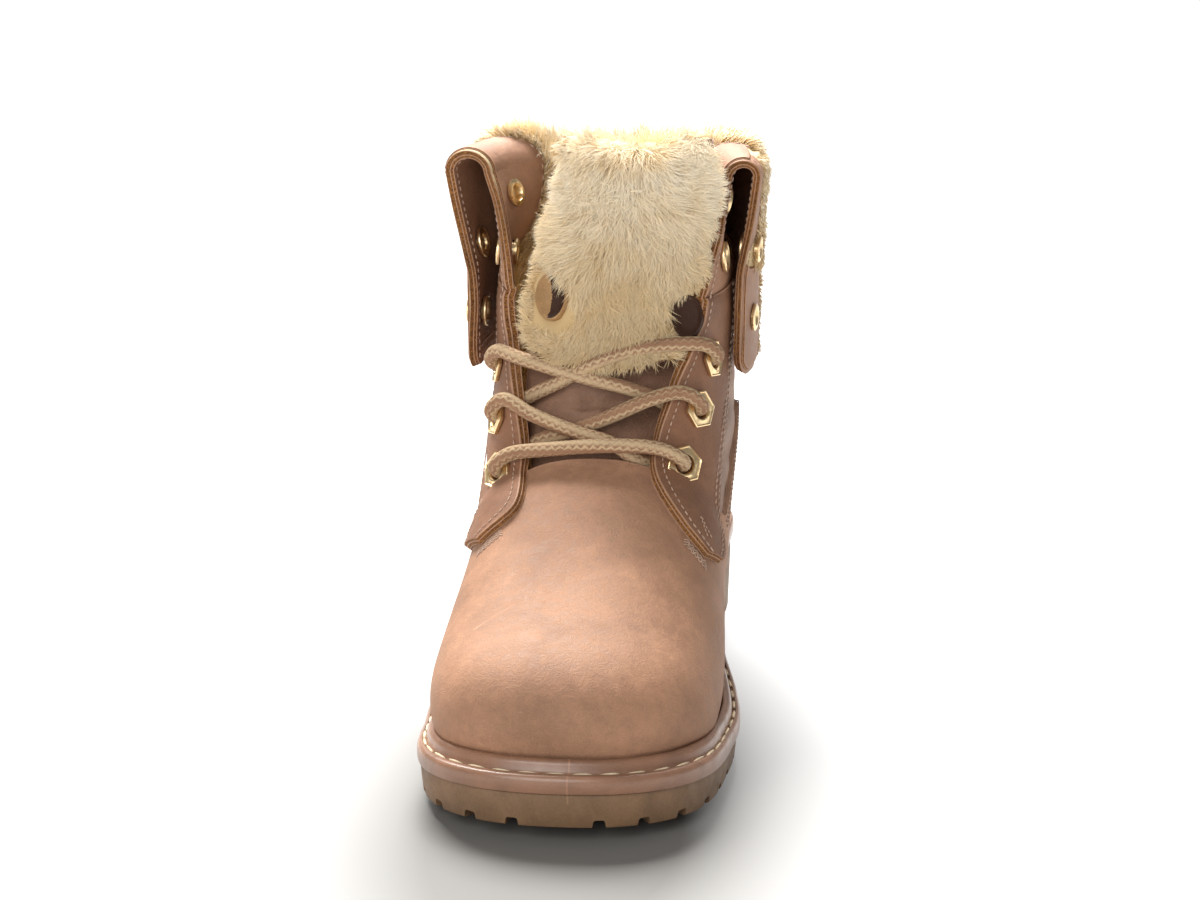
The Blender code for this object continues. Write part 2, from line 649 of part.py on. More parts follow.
def build_outsole(finish, guide):
    """Lugged rubber sole with its heel: lugs round the edge and chevron blocks down the middle."""
    corners = (TREAD_END, WAIST_START, BREAST_TOP, HEEL_BREAST)
    plain = [s for s in SOLE_STATIONS if min(abs(s - c) for c in corners) > 1.5]
    stations = np.sort(np.array(plain + list(corners)))
    top = rings(stations, [
        (lambda s: welt_margin(s) - SOLE_INSET - 0.8, sole_bottom),
        (lambda s: welt_margin(s) - SOLE_INSET, lambda s: welt_top(s) - WELT_THICKNESS - GAP),
    ])
    obj = make_object("outsole", *ring_solid(top), finish)
    boolean(obj, "DIFFERENCE", joined("side_groove_cutters", side_grooves(), guide))
    boolean(obj, "DIFFERENCE", joined("middle_groove_cutters", middle_grooves(), guide))


def constant(value):
    """A margin or an offset that is the same all along the boot."""
    return lambda s: np.full_like(s, value)


def above_welt(offset):
    """A height measured from the welt's top face."""
    return lambda s: welt_top(s) + offset


def build_welt(finish):
    """Storm welt: midsole plate, lip, stitching channel and the bead round the upper."""
    edge = welt_margin
    stack = rings(SOLE_STATIONS, [
        (lambda s: edge(s) - 0.5, above_welt(-WELT_THICKNESS)),
        (edge, above_welt(-WELT_THICKNESS + 0.8)),
        (edge, above_welt(-1.3)),
        (lambda s: edge(s) - 1.2, above_welt(0.0)),
        (constant(BEAD_WIDTH + 0.4), above_welt(-0.4)),
        (constant(BEAD_WIDTH), above_welt(1.6)),
        (constant(BEAD_WIDTH - 1.0), above_welt(BEAD_HEIGHT)),
        (constant(0.9), above_welt(0.25)),
        (constant(-FUR_WALL), above_welt(0.0)),
    ])
    make_object("welt", *ring_solid(stack), finish)


def build_insole(finish):
    """Furred footbed inside the upper's wall, on the welt's plate."""
    def inset(s):
        deep = (FUR_WALL - WALL) * ease((s - 90) / 40) + HEEL_ROOM * ease((s - 232) / 15)
        return -GAP - WALL - INSOLE_ROOM - deep
    stack = rings(SOLE_STATIONS, [
        (inset, above_welt(GAP)),
        (inset, above_welt(GAP + INSOLE_THICK - 1.0)),
        (lambda s: inset(s) - 1.5, above_welt(GAP + INSOLE_THICK)),
    ])
    make_object("insole", *ring_solid(stack), finish)


# ---------------------------------------------------------------- tongue
# Leather side of the tongue's middle line: up from under the vamp, over the fold and down the
# flap. curl: how far the side edges fall behind the middle; depth: leather and fur together.
TONGUE = Table("x s z half curl depth", [
    (-3.0, 112.5, 78.6, 19.0, 7.0, 2.0),
    (-3.0, 120.0, 83.4, 21.0, 8.0, 2.6),
    (-3.0, 127.5, 90.0, 23.0, 8.5, 4.0),
    (-3.0, 134.5, 98.5, 25.0, 8.5, 6.0),
    (-2.5, 141.5, 109.0, 27.0, 8.0, 8.0),
    (-2.6, 148.5, 122.5, 28.0, 7.0, 9.0),
    (-1.8, 154.5, 138.5, 29.4, 6.0, 9.5),
    (-0.4, 159.5, 155.5, 30.0, 5.5, 9.5),
    (1.4, 163.0, 170.5, 30.2, 5.0, 9.5),
    (3.0, 165.0, 180.0, 30.2, 5.0, 9.5),
    (4.0, 163.6, 184.6, 30.4, 4.8, 9.5),
    (4.0, 160.6, 185.0, 30.4, 4.8, 9.5),
    (4.0, 158.6, 181.5, 30.4, 5.0, 9.5),
    (3.2, 156.2, 170.5, 30.6, 5.2, 9.5),
    (0.6, 152.6, 156.0, 30.2, 5.2, 9.5),
    (-1.3, 147.4, 140.0, 28.8, 5.0, 9.0),
    (-2.4, 143.0, 127.5, 26.4, 4.5, 6.5),
    (-2.4, 140.0, 118.0, 24.6, 4.0, 4.0),
])
TONGUE_ROWS = 27
TONGUE_COLUMNS = 9


def tongue_grid():
    """Leather face and fur face of the tongue, as two grids of points."""
    t = np.linspace(0, len(TONGUE.rows) - 1, TONGUE_ROWS)
    row = TONGUE.at(t)
    run = np.column_stack([np.gradient(row.s), np.gradient(row.z)])
    run /= np.linalg.norm(run, axis=1)[:, None]
    behind = np.column_stack([run[:, 1], -run[:, 0]])
    across = np.linspace(-1, 1, TONGUE_COLUMNS)
    leather, fur = [], []
    for k in range(TONGUE_ROWS):
        edge = np.abs(across) ** 2.0
        back = row.curl[k] * edge
        if t[k] > TONGUE_FOLD:
            back = back * (1 - 2 * ease((t[k] - TONGUE_FOLD) / 3.0))
        x = row.x[k] + across * row.half[k]
        depth = row.depth[k] * np.sqrt(np.clip(1.02 - np.abs(across) ** 3, 0.12, 1))
        for grid, offset in ((leather, back), (fur, back + depth)):
            grid.append(np.column_stack([x, row.s[k] + behind[k, 0] * offset,
                                         row.z[k] + behind[k, 1] * offset]))
    return np.array(leather), np.array(fur)


def build_tongue(finish):
    """Tongue of leather with a fur back, its top folded forward and hanging fur outwards."""
    leather, fur = tongue_grid()
    rows, columns = leather.shape[:2]
    count = rows * columns
    faces = [tuple(reversed(f)) for f in grid_faces(rows, columns)]
    faces += [tuple(v + count for v in f) for f in grid_faces(rows, columns)]
    border = [c for c in range(columns)] + [r * columns + columns - 1 for r in range(1, rows)]
    border += [(rows - 1) * columns + c for c in range(columns - 2, -1, -1)]
    border += [r * columns for r in range(rows - 2, 0, -1)]
    for k, v in enumerate(border):
        n = border[(k + 1) % len(border)]
        faces.append((v, n, n + count, v + count))
    points = np.vstack([leather.reshape(-1, 3), fur.reshape(-1, 3)])
    make_object("tongue", points, [f[::-1] for f in faces], finish)


# ---------------------------------------------------------------- eyelets
HEX_ROWS = (11.6, 13.55, 15.55)          # rows of the upper that carry the hexagonal eyelets
ROUND_STANDING = (150.0, 168.0)          # heights of the round eyelets on the standing shaft
ROUND_HANGING = (149.0, 126.0)           # and on the hanging cuff


def frame_at(spot, ahead, beside, out):
    """Axes (across, along, outward) on a surface from two nearby points of it."""
    along = ahead - spot
    along /= np.linalg.norm(along)
    normal = np.cross(beside - spot, along)
    normal /= np.linalg.norm(normal)
    if np.dot(normal, out) < 0:
        normal = -normal
    return spot, np.cross(along, normal), along, normal


def facing_frame(sign, t, from_edge):
    """Axes on the quarter's facing, at a row of the upper and a distance from the front edge."""
    def spot(row, distance):
        reach = upper_side(row, sign, np.ones(1))[1]
        return upper_side(row, sign, np.array([1 - distance / reach]))[0][0]
    return frame_at(spot(t, from_edge), spot(t + 0.1, from_edge), spot(t, from_edge + 1), (sign, -0.3, 0))


def hex_frames(from_edge=EDGE_TO_EYELET):
    """Where the hexagonal eyelets sit: the lateral three from below, then the medial three."""
    return [facing_frame(sign, t, from_edge) for sign in (-1, 1) for t in HEX_ROWS]


def round_frames():
    """Where the round eyelets sit; outward is the leather's grain side, which the fold turns in."""
    frames = []
    for table, heights, out in ((STANDING, ROUND_STANDING, 1), (HANGING, ROUND_HANGING, -1)):
        for sign in (-1, 1):
            for z in heights:
                def spot(height, shift):
                    length = collar_side(table, height, sign, np.zeros(1))[1]
                    share = np.array([(EDGE_TO_EYELET + shift) / length])
                    return collar_side(table, height, sign, share)[0][0]
                frames.append(frame_at(spot(z, 0), spot(z + 1, 0), spot(z, 1), (sign * out, 0, 0)))
    return frames


def turned(profile, frame, segments):
    """A ring turned round a frame's outward axis; profile rows say whether they are hexagonal."""
    spot, across, along, normal = frame
    sixth = math.pi / 3
    points = []
    for radius, height, hexagonal in profile:
        for k in range(segments):
            angle = 2 * math.pi * k / segments
            r = radius / math.cos((angle + sixth / 2) % sixth - sixth / 2) if hexagonal else radius
            points.append(spot + across * r * math.cos(angle) + along * r * math.sin(angle)
                          + normal * height)
    count = len(profile)
    faces = []
    for p in range(count):
        q = (p + 1) % count
        for k in range(segments):
            n = (k + 1) % segments
            face = (p * segments + k, q * segments + k,
                    q * segments + n, p * segments + n)
            faces.append(face)
    return points, faces


def eyelet(name, frame, flange, hole, hexagonal, seats, finish):
    """A grommet: flange on the grain side, barrel through the wall and washer on the lining side."""
    barrel = EYELET_BARREL / 2
    front, back = seats[0], -WALL - seats[1]
    profile = [(hole / 2, front + FLANGE_THICK, False), (flange / 2, front + FLANGE_THICK, hexagonal),
               (flange / 2, front, hexagonal), (barrel, front, False), (barrel, back, False),
               (WASHER / 2, back, False), (WASHER / 2, back - FLANGE_THICK, False),
               (hole / 2, back - FLANGE_THICK, False)]
    segments = HEX_SEGMENTS if hexagonal else ROUND_SEGMENTS
    make_object(name, *turned(profile, frame, segments), finish)


def bore(frame, segments):
    """Cutter of an eyelet's hole through the wall."""
    radius = EYELET_BARREL / 2 + GAP + 0.15
    spot, across, along, normal = frame
    points = []
    for height in (-2 * WALL, WALL):
        for k in range(segments):
            angle = 2 * math.pi * k / segments
            points.append(spot + across * radius * math.cos(angle) + along * radius * math.sin(angle)
                          + normal * height)
    faces = []
    for k in range(segments):
        n = (k + 1) % segments
        faces.append((k, n, segments + n, segments + k))
    faces += [tuple(range(segments))[::-1], tuple(range(segments, 2 * segments))]
    return points, faces


def build_eyelets(finish, upper, shaft, guide):
    """Hexagonal eyelets in the quarters and round ones in the collar, each in its own hole."""
    hexes, rounds = hex_frames(), round_frames()
    boolean(upper, "DIFFERENCE", joined("quarter_bores", [bore(frame, HEX_SEGMENTS) for frame in hexes], guide))
    boolean(shaft, "DIFFERENCE", joined("collar_bores", [bore(frame, ROUND_SEGMENTS) for frame in rounds], guide))
    for k, frame in enumerate(hexes):
        name = f"hex_eyelet_{'lateral' if k < 3 else 'medial'}_{k % 3 + 1}"
        eyelet(name, frame, HEX_FLATS, HEX_HOLE, True, (INSTEP_SEAT, CONCAVE_SEAT), finish)
    for k, frame in enumerate(rounds):
        place = "shaft" if k < 4 else "cuff"
        seats = (CONVEX_SEAT, CONCAVE_SEAT) if k < 4 else (CONCAVE_SEAT, CONVEX_SEAT)
        name = f"{place}_eyelet_{'lateral' if k % 4 < 2 else 'medial'}_{k % 2 + 1}"
        eyelet(name, frame, ROUND_FLANGE, ROUND_HOLE, False, seats, finish)


# ---------------------------------------------------------------- lace
# Each strand leaves one hexagonal eyelet on its outer side, crosses the facing's front edge and
# passes these points, over or under its neighbours. The bar ends at the opposite eyelet; the
# others end under the opposite facing.
LACE = {
    "bar": (0, 3, [(-18.0, 119.4, 89.8), (-6.0, 118.2, 91.8), (6.0, 118.4, 92.0), (12.0, 119.4, 91.6)]),
    "second_from_lateral": (1, None, [(-16.0, 128.0, 99.6), (-3.0, 127.6, 98.8), (6.0, 125.8, 95.8),
                                      (12.2, 123.4, 93.2)]),
    "second_from_medial": (4, None, [(10.0, 128.8, 100.0), (-3.0, 129.9, 97.2), (-12.0, 127.6, 94.0),
                                     (-20.0, 123.6, 91.2)]),
    "third_from_lateral": (2, None, [(-27.0, 137.2, 112.0), (-18.0, 135.4, 110.8), (-3.0, 133.4, 108.2),
                                     (8.0, 131.6, 104.6), (15.0, 129.9, 101.6)]),
    "third_from_medial": (5, None, [(12.0, 134.6, 113.8), (-3.0, 136.2, 109.6), (-14.0, 134.0, 104.0),
                                    (-24.0, 130.6, 99.2)]),
}
LACE_STATIONS = 13
LACE_SIDES = 6


def route(points):
    """A smooth route through a strand's points."""
    points = np.array(points, float)
    knots = np.concatenate([[0], np.cumsum(np.linalg.norm(np.diff(points, axis=0), axis=1))])
    return smooth(knots, points, np.linspace(0, knots[-1], LACE_STATIONS))


def strand(points):
    """Points and faces of a round strand of lace along a route."""
    path = route(points)
    run = np.gradient(path, axis=0)
    run /= np.linalg.norm(run, axis=1)[:, None]
    beside = np.cross(run, (0.0, 0.0, 1.0))
    beside /= np.linalg.norm(beside, axis=1)[:, None]
    above = np.cross(beside, run)
    rings_round = []
    for k in range(LACE_SIDES):
        angle = 2 * math.pi * (k + 0.5) / LACE_SIDES
        rings_round.append(path + (beside * math.cos(angle) + above * math.sin(angle)) * LACE_DIAMETER / 2)
    points = np.stack(rings_round, axis=1).reshape(-1, 3)
    faces = []
    for r in range(LACE_STATIONS - 1):
        for k in range(LACE_SIDES):
            n = (k + 1) % LACE_SIDES
            a, b = r * LACE_SIDES, (r + 1) * LACE_SIDES
            faces.append((a + k, b + k, b + n, a + n))
    last = (LACE_STATIONS - 1) * LACE_SIDES
    faces += [tuple(range(LACE_SIDES)), tuple(last + k for k in range(LACE_SIDES))[::-1]]
    return points, faces


def above(frame, rise):
    """A point over the leather."""
    return frame[0] + frame[3] * rise


def build_lace(cord, guide):
    """The laced part of the lace: its strands joined where they cross."""
    eyelets, edges = hex_frames(), hex_frames(EDGE_TO_LACE)
    whole = None
    for name, (first, last, between) in LACE.items():
        points = [above(eyelets[first], LACE_RISE), above(edges[first], EDGE_RISE), *between]
        if last is not None:
            points += [above(edges[last], EDGE_RISE), above(eyelets[last], LACE_RISE)]
        if whole is None:
            whole = make_object("lace", *strand(points), cord)
        else:
            boolean(whole, "UNION", make_object(f"lace_{name}", *strand(points), guide))


def main():
    """Clear the scene and build every sub-part."""
    for obj in list(bpy.data.objects):
        bpy.data.objects.remove(obj)
    nubuck = material("nubuck", (0.45, 0.27, 0.19), 0.75)
    lining = material("fur", (0.75, 0.66, 0.48), 0.95)
    welt_rubber = material("welt", (0.40, 0.25, 0.19), 0.6)
    crepe = material("rubber", (0.30, 0.21, 0.13), 0.7)
    brass = material("brass", (0.80, 0.62, 0.35), 0.25, 1.0)
    cord = material("lace", (0.55, 0.42, 0.32), 0.85)
    guide = material("guide", (1.0, 0.0, 1.0), 0.5)

    build_outsole(crepe, guide)
    build_welt(welt_rubber)
    build_insole(lining)
    upper = build_upper(nubuck)
    shaft = build_shaft(nubuck)
    build_tongue(lining)
    build_eyelets(brass, upper, shaft, guide)
    build_lace(cord, guide)


main()
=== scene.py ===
"""Looks of a fold-down, fur-lined, lace-up ankle boot for the right foot.

Shoe sizes are millimetres in the CAD part's own axes: x runs from the lateral side to the medial
side, s from the tip of the sole at the toe to the back of the heel, and z up from the floor. The
skin of the upper and of the collar is one smooth surface a side, read at a row and at a distance
behind its front edge; panels, seams, stitches and piles are laid out on it.
"""

import logging
import math
from dataclasses import dataclass, field
from enum import Enum
from types import SimpleNamespace
from typing import Any, Callable, Sequence

import bmesh
import bpy
import numpy as np
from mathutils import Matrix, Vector


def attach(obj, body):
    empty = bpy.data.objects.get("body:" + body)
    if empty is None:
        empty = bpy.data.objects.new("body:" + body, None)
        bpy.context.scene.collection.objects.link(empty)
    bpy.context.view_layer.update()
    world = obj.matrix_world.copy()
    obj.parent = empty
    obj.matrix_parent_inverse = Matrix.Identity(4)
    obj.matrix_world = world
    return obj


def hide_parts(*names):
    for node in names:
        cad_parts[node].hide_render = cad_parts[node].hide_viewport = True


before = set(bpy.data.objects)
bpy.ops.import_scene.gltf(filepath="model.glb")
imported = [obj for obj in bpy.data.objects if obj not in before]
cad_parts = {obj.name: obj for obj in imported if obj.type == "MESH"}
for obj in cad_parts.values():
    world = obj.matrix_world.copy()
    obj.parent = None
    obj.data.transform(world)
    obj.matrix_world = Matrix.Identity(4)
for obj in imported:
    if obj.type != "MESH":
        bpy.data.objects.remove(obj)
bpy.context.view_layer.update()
LOG = logging.getLogger("boot")
Array = np.ndarray
Piece = bpy.types.Object
Tree = bpy.types.NodeTree
Triple = tuple[float, float, float]
Frame = tuple[Array, ...]
Margin = Callable[[Array], Array]
MM = 0.001
THREAD_LIFT = 0.12
SHARP_EDGE = math.radians(42)
COARSE = (slice(None, None, 2), slice(None, None, 2))
EYELET_BORE = 3.95


class Side(Enum):
    """The two sides of the boot, with the sign of their x."""

    LATERAL = -1
    MEDIAL = 1

    @property
    def label(self) -> str:
        """Name used in the pieces' names."""
        return self.name.lower()


# ---------------------------------------------------------------- curves
def smooth(knots: Any, values: Any, at: Any) -> Array:
    """Read rows of values as smooth curves along the knots.

    Args:
        knots: Increasing positions of the rows.
        values: One row of values a knot.
        at: Positions to read at.

    Returns:
        The values at those positions.
    """
    knots = np.asarray(knots, float)
    values = np.asarray(values, float)
    at = np.clip(np.asarray(at, float), knots[0], knots[-1])
    slopes = np.gradient(values, knots, axis=0)
    index = np.clip(np.searchsorted(knots, at, side="right") - 1, 0, len(knots) - 2)
    step = knots[index + 1] - knots[index]
    u = (at - knots[index]) / step
    if values.ndim > 1:
        extra = (None,) * (values.ndim - 1)
        u, step = u[(..., *extra)], step[(..., *extra)]
    start, end = values[index], values[index + 1]
    rise_start, rise_end = slopes[index] * step, slopes[index + 1] * step
    return (start * (1 + 2 * u) * (1 - u) ** 2 + rise_start * u * (1 - u) ** 2
            + end * u * u * (3 - 2 * u) + rise_end * u * u * (u - 1))


class Table:
    """Rows with named columns, read as smooth curves."""

    def __init__(self, names: str, rows: Sequence[Sequence[float]], along: str | None = None) -> None:
        """Keep the rows.

        Args:
            names: Column names, parted by spaces.
            rows: The table's rows.
            along: Column that the others are read along; the row's number if None.
        """
        self.names = names.split()
        self.rows = np.array(rows, float)
        self.knots = np.arange(len(rows)) if along is None else self.rows[:, self.names.index(along)]

    def at(self, where: Any) -> SimpleNamespace:
        """Read every column at positions along the knots."""
        values = smooth(self.knots, self.rows, where)
        return SimpleNamespace(**{name: values[..., i] for i, name in enumerate(self.names)})


def ease(u: Any) -> Any:
    """Smooth step from 0 to 1."""
    u = np.clip(u, 0.0, 1.0)
    return u * u * (3 - 2 * u)


def bell(u: Any) -> Any:
    """A soft bump of height 1 that has died away by u = 2."""
    return np.exp(-np.asarray(u, float) ** 2)


def unit(vectors: Array) -> Array:
    """Vectors at length one."""
    size = np.linalg.norm(vectors, axis=-1, keepdims=True)
    return vectors / np.maximum(size, 1e-9)


def lengths(points: Array) -> Array:
    """Distance of each point along a polyline."""
    return np.concatenate([[0], np.cumsum(np.linalg.norm(np.diff(points, axis=0), axis=1))])


def spaced(points: Array, count: int) -> Array:
    """Place points evenly along a polyline.

    Args:
        points: The polyline.
        count: How many points to return.

    Returns:
        The evenly spaced points, ends included.
    """
    arc = lengths(points)
    where = np.linspace(0, arc[-1], count)
    return np.column_stack([np.interp(where, arc, points[:, i]) for i in range(points.shape[1])])


def fair(points: Any, count: int) -> Array:
    """A smooth curve through control points, evenly parted between them.

    Args:
        points: Control points, of any number of columns.
        count: How many points to return.

    Returns:
        Points of the curve.
    """
    points = np.array(points, float)
    knots = lengths(points)
    return smooth(knots, points, np.linspace(0, knots[-1], count))


def drift(points: Array, size: float, seed: int) -> Array:
    """Smooth random values between -1 and 1, from sums of slanted waves.

    Args:
        points: Places to read, one a row.
        size: Size of one wave, in the points' unit.
        seed: Choice of waves.

    Returns:
        One value a place.
    """
    chance = np.random.default_rng(seed)
    total = np.zeros(points.shape[:-1])
    for _ in range(9):
        heading = unit(chance.normal(size=3))
        pitch = size * chance.uniform(0.7, 1.6)
        total += np.sin(points @ heading * (2 * math.pi / pitch) + chance.uniform(0, 2 * math.pi))
    return total / 4.2


# ---------------------------------------------------------------- plan and sections of the boot
FEATHER = Table("s lateral medial", [
    (0, 44, 40.4), (56, 44, 40.4), (80, 45.4, 42), (100, 44.4, 39.8), (125, 39.8, 34.8),
    (150, 35.2, 30.6), (175, 32.2, 29.2), (205, 31.6, 30.8), (228, 31.8, 32.2), (272, 31.8, 32.2),
], along="s")
RISE = Table("s share", [
    (-10, 0), (100, 0), (128, 0.17), (160, 0.5), (190, 0.76), (220, 0.92), (250, 0.98), (280, 1),
], along="s")
UPPER = Table("crown_x crown_s crown_z base_s base_z lateral medial throat_lateral throat_medial"
              " belly power low_power", [
    (-3.2, 13.5, 21.8, 56, 18.2, 44, 40.4, 10, 10, 0, 2.4, 2),
    (-3.2, 11.8, 28.5, 58, 18, 45, 41.5, 12, 11, 0.1, 2.4, 2),
    (-3.2, 11.6, 36, 61.5, 17.8, 46.2, 42.8, 13, 12, 0.16, 2.4, 2),
    (-3.2, 14.2, 43.6, 66, 17.7, 47, 43.6, 14, 12, 0.2, 2.4, 2),
    (-3.2, 20.8, 50.2, 71.5, 17.6, 47.6, 44.1, 15, 13, 0.23, 2.4, 2),
    (-3, 30.5, 54.8, 78, 17.5, 48, 44.5, 16, 13, 0.25, 2.4, 2),
    (-2.8, 43, 57.8, 85, 17.5, 48.2, 44.7, 17, 14, 0.26, 2.4, 2),
    (-2.5, 59, 61.6, 92.5, 17.5, 48, 44.6, 18, 14, 0.27, 2.4, 2),
    (-2.2, 77, 67.2, 101.5, 17.5, 47.4, 44.2, 19, 15, 0.28, 2.4, 2),
    (-2, 94, 74.4, 112, 18.1, 46.4, 43.5, 21, 15, 0.29, 2.35, 2),
    (-1.8, 108.5, 82, 124, 20, 45.2, 42.6, 23, 16, 0.31, 2.35, 2),
    (-1.5, 121.5, 90, 137, 22.8, 44, 41.8, 24, 17, 0.34, 2.3, 2),
    (-1.2, 126.2, 99.8, 151, 25.4, 43.5, 41.4, 26, 19, 0.38, 2.3, 2),
    (-0.9, 129.6, 110.9, 168.5, 28.6, 43, 41.3, 28.5, 22, 0.42, 2.25, 2),
    (-0.6, 131.6, 122.9, 190, 31.6, 42.8, 41.4, 31, 25, 0.45, 2.2, 2),
    (-0.3, 131.6, 133.8, 216, 34.3, 42.8, 41.6, 33, 28, 0.48, 2.1, 2),
    (-0.1, 129.1, 144, 243, 35.5, 42.6, 41.5, 34.5, 30, 0.51, 2, 2.05),
    (0, 125.3, 149.5, 263.5, 36.1, 42.4, 41.3, 35.5, 31.5, 0.53, 2, 2.15),
    (0, 122, 151, 266.8, 57, 42.3, 41.1, 36, 32.3, 0.54, 2, 2.1),
    (0, 121.6, 149, 263, 85, 42.2, 41, 36.3, 32.7, 0.53, 2, 2.05),
    (0, 122.4, 144.8, 257.5, 113, 42.2, 41, 36.4, 33, 0.52, 2, 2),
    (0, 123.6, 139.6, 254, 139.6, 42.2, 41, 36.4, 33, 0.52, 2, 2),
])
LEVEL = ("z back_s edge_lateral edge_medial lateral medial throat_lateral throat_medial"
         " flare_lateral flare_medial")
STANDING = Table(LEVEL, [
    (139.9, 254, 154.5, 149, 42.2, 41, 36.4, 33, 0, 0),
    (148, 253.2, 157.8, 153.6, 41.6, 40.5, 37.6, 35, 1, 0.6),
    (158, 252.6, 161.8, 159.6, 41, 40, 39.6, 37.2, 3.4, 2),
    (168, 252.2, 165.6, 164.6, 40.6, 39.7, 42.2, 38.8, 6.4, 3.4),
    (180, 252, 170, 169.2, 40.4, 39.4, 46.4, 41, 10, 5.4),
], along="z")
HANGING = Table(LEVEL, [
    (104, 260.4, 166, 166, 46.4, 45.2, 47.6, 41.2, 4, 0),
    (122, 260.4, 167, 167, 46.4, 45.2, 47.8, 41.4, 4, 0),
    (136, 260.4, 168, 168, 46.4, 45.2, 48, 41.5, 4.2, 0),
    (143, 260.2, 170.5, 170.5, 46.6, 45.2, 48.6, 41.8, 4.6, 0.2),
    (150, 260, 174, 174, 46.8, 45.2, 51, 43, 6, 1.2),
    (164, 259.6, 173.5, 173.5, 47.6, 45.4, 54.4, 45.4, 8.6, 3.2),
    (180, 259, 171, 171, 48.4, 45.8, 57.2, 47.6, 10.4, 5.4),
], along="z")


@dataclass
class Skin:
    """One side of a curved surface, kept as a dense net from its base line to its front line.

    Attributes:
        knots: Row values of the net.
        net: Points, rows by evenly spaced columns.
        front: Length of each row from its base to the front line.
        length: Whole length of each row.
        side: Which side of the boot it is.
    """

    knots: Array
    net: Array
    front: Array
    length: Array
    side: Side

    def share(self, row: Any, back: Any) -> Array:
        """Column share of places that lie a distance behind the front line."""
        front, length = np.interp(row, self.knots, self.front), np.interp(row, self.knots, self.length)
        return (front - back) / length

    def read(self, row: Any, share: Any) -> Array:
        """Points of the surface.

        Args:
            row: Row values.
            share: Column shares, 0 at the base.

        Returns:
            One point for each pair.
        """
        row, share = np.broadcast_arrays(np.asarray(row, float), np.asarray(share, float))
        rows, columns = self.net.shape[:2]
        at = np.interp(row, self.knots, np.arange(rows))
        across = np.clip(share, 0, 1) * (columns - 1)
        i, j = np.clip(at.astype(int), 0, rows - 2), np.clip(across.astype(int), 0, columns - 2)
        u, v = at - i, across - j

        def weights(f: Array) -> list[Array]:
            """Shares of four neighbouring knots in a smooth curve through them."""
            return [-0.5 * f + f ** 2 - 0.5 * f ** 3, 1 - 2.5 * f ** 2 + 1.5 * f ** 3,
                    0.5 * f + 2 * f ** 2 - 1.5 * f ** 3, -0.5 * f ** 2 + 0.5 * f ** 3]

        total = np.zeros(row.shape + (3,))
        for a, wa in enumerate(weights(u)):
            for b, wb in enumerate(weights(v)):
                ii, jj = i + a - 1, j + b - 1
                low_i, low_j = np.clip(ii, 0, rows - 1), np.clip(jj, 0, columns - 1)
                spot = self.net[low_i, low_j]
                inner = self.net[np.clip(2 * low_i - ii, 0, rows - 1),
                                 np.clip(2 * low_j - jj, 0, columns - 1)]
                outside = ((ii != low_i) | (jj != low_j))[..., None]
                total += (wa * wb)[..., None] * np.where(outside, 2 * spot - inner, spot)
        return total

    def at(self, row: Any, back: Any) -> Array:
        """Points at distances behind the front line."""
        return self.read(row, self.share(row, back))

    def normal(self, row: Any, share: Any) -> Array:
        """Outward unit normals.

        Args:
            row: Row values.
            share: Column shares.

        Returns:
            One normal for each pair.
        """
        row, share = np.broadcast_arrays(np.asarray(row, float), np.asarray(share, float))
        low, high = self.knots[0], self.knots[-1]
        step = (high - low) * 0.002
        up = (self.read(np.clip(row + step, low, high), share)
              - self.read(np.clip(row - step, low, high), share))
        out = self.read(row, np.clip(share + 0.006, 0, 1)) - self.read(row, np.clip(share - 0.006, 0, 1))
        return unit(np.cross(up, out)) * self.side.value

    def lay(self, rows: Array, share: Array) -> tuple[Array, Array]:
        """Points and normals of a grid, one list of shares a row."""
        return self.read(rows[:, None], share), self.normal(rows[:, None], share)

    def strip(self, controls: Any, count: int, lift: float = 0.0) -> tuple[Array, Array]:
        """A line on the surface through control places.

        Args:
            controls: (row, distance behind the front line) of each control place.
            count: How many points to return.
            lift: Height over the surface.

        Returns:
            The line's points and its normals.
        """
        path = fair(controls, count)
        share = self.share(path[:, 0], path[:, 1])
        normals = self.normal(path[:, 0], share)
        return self.read(path[:, 0], share) + normals * lift, normals


def joined(halves: Sequence[tuple[Array, Array]]) -> Frame:
    """Points and normals of both sides as one grid, from the lateral side round to the medial one."""
    return tuple(np.concatenate([halves[0][k], halves[1][k][:, -2::-1]], axis=1) for k in range(2))


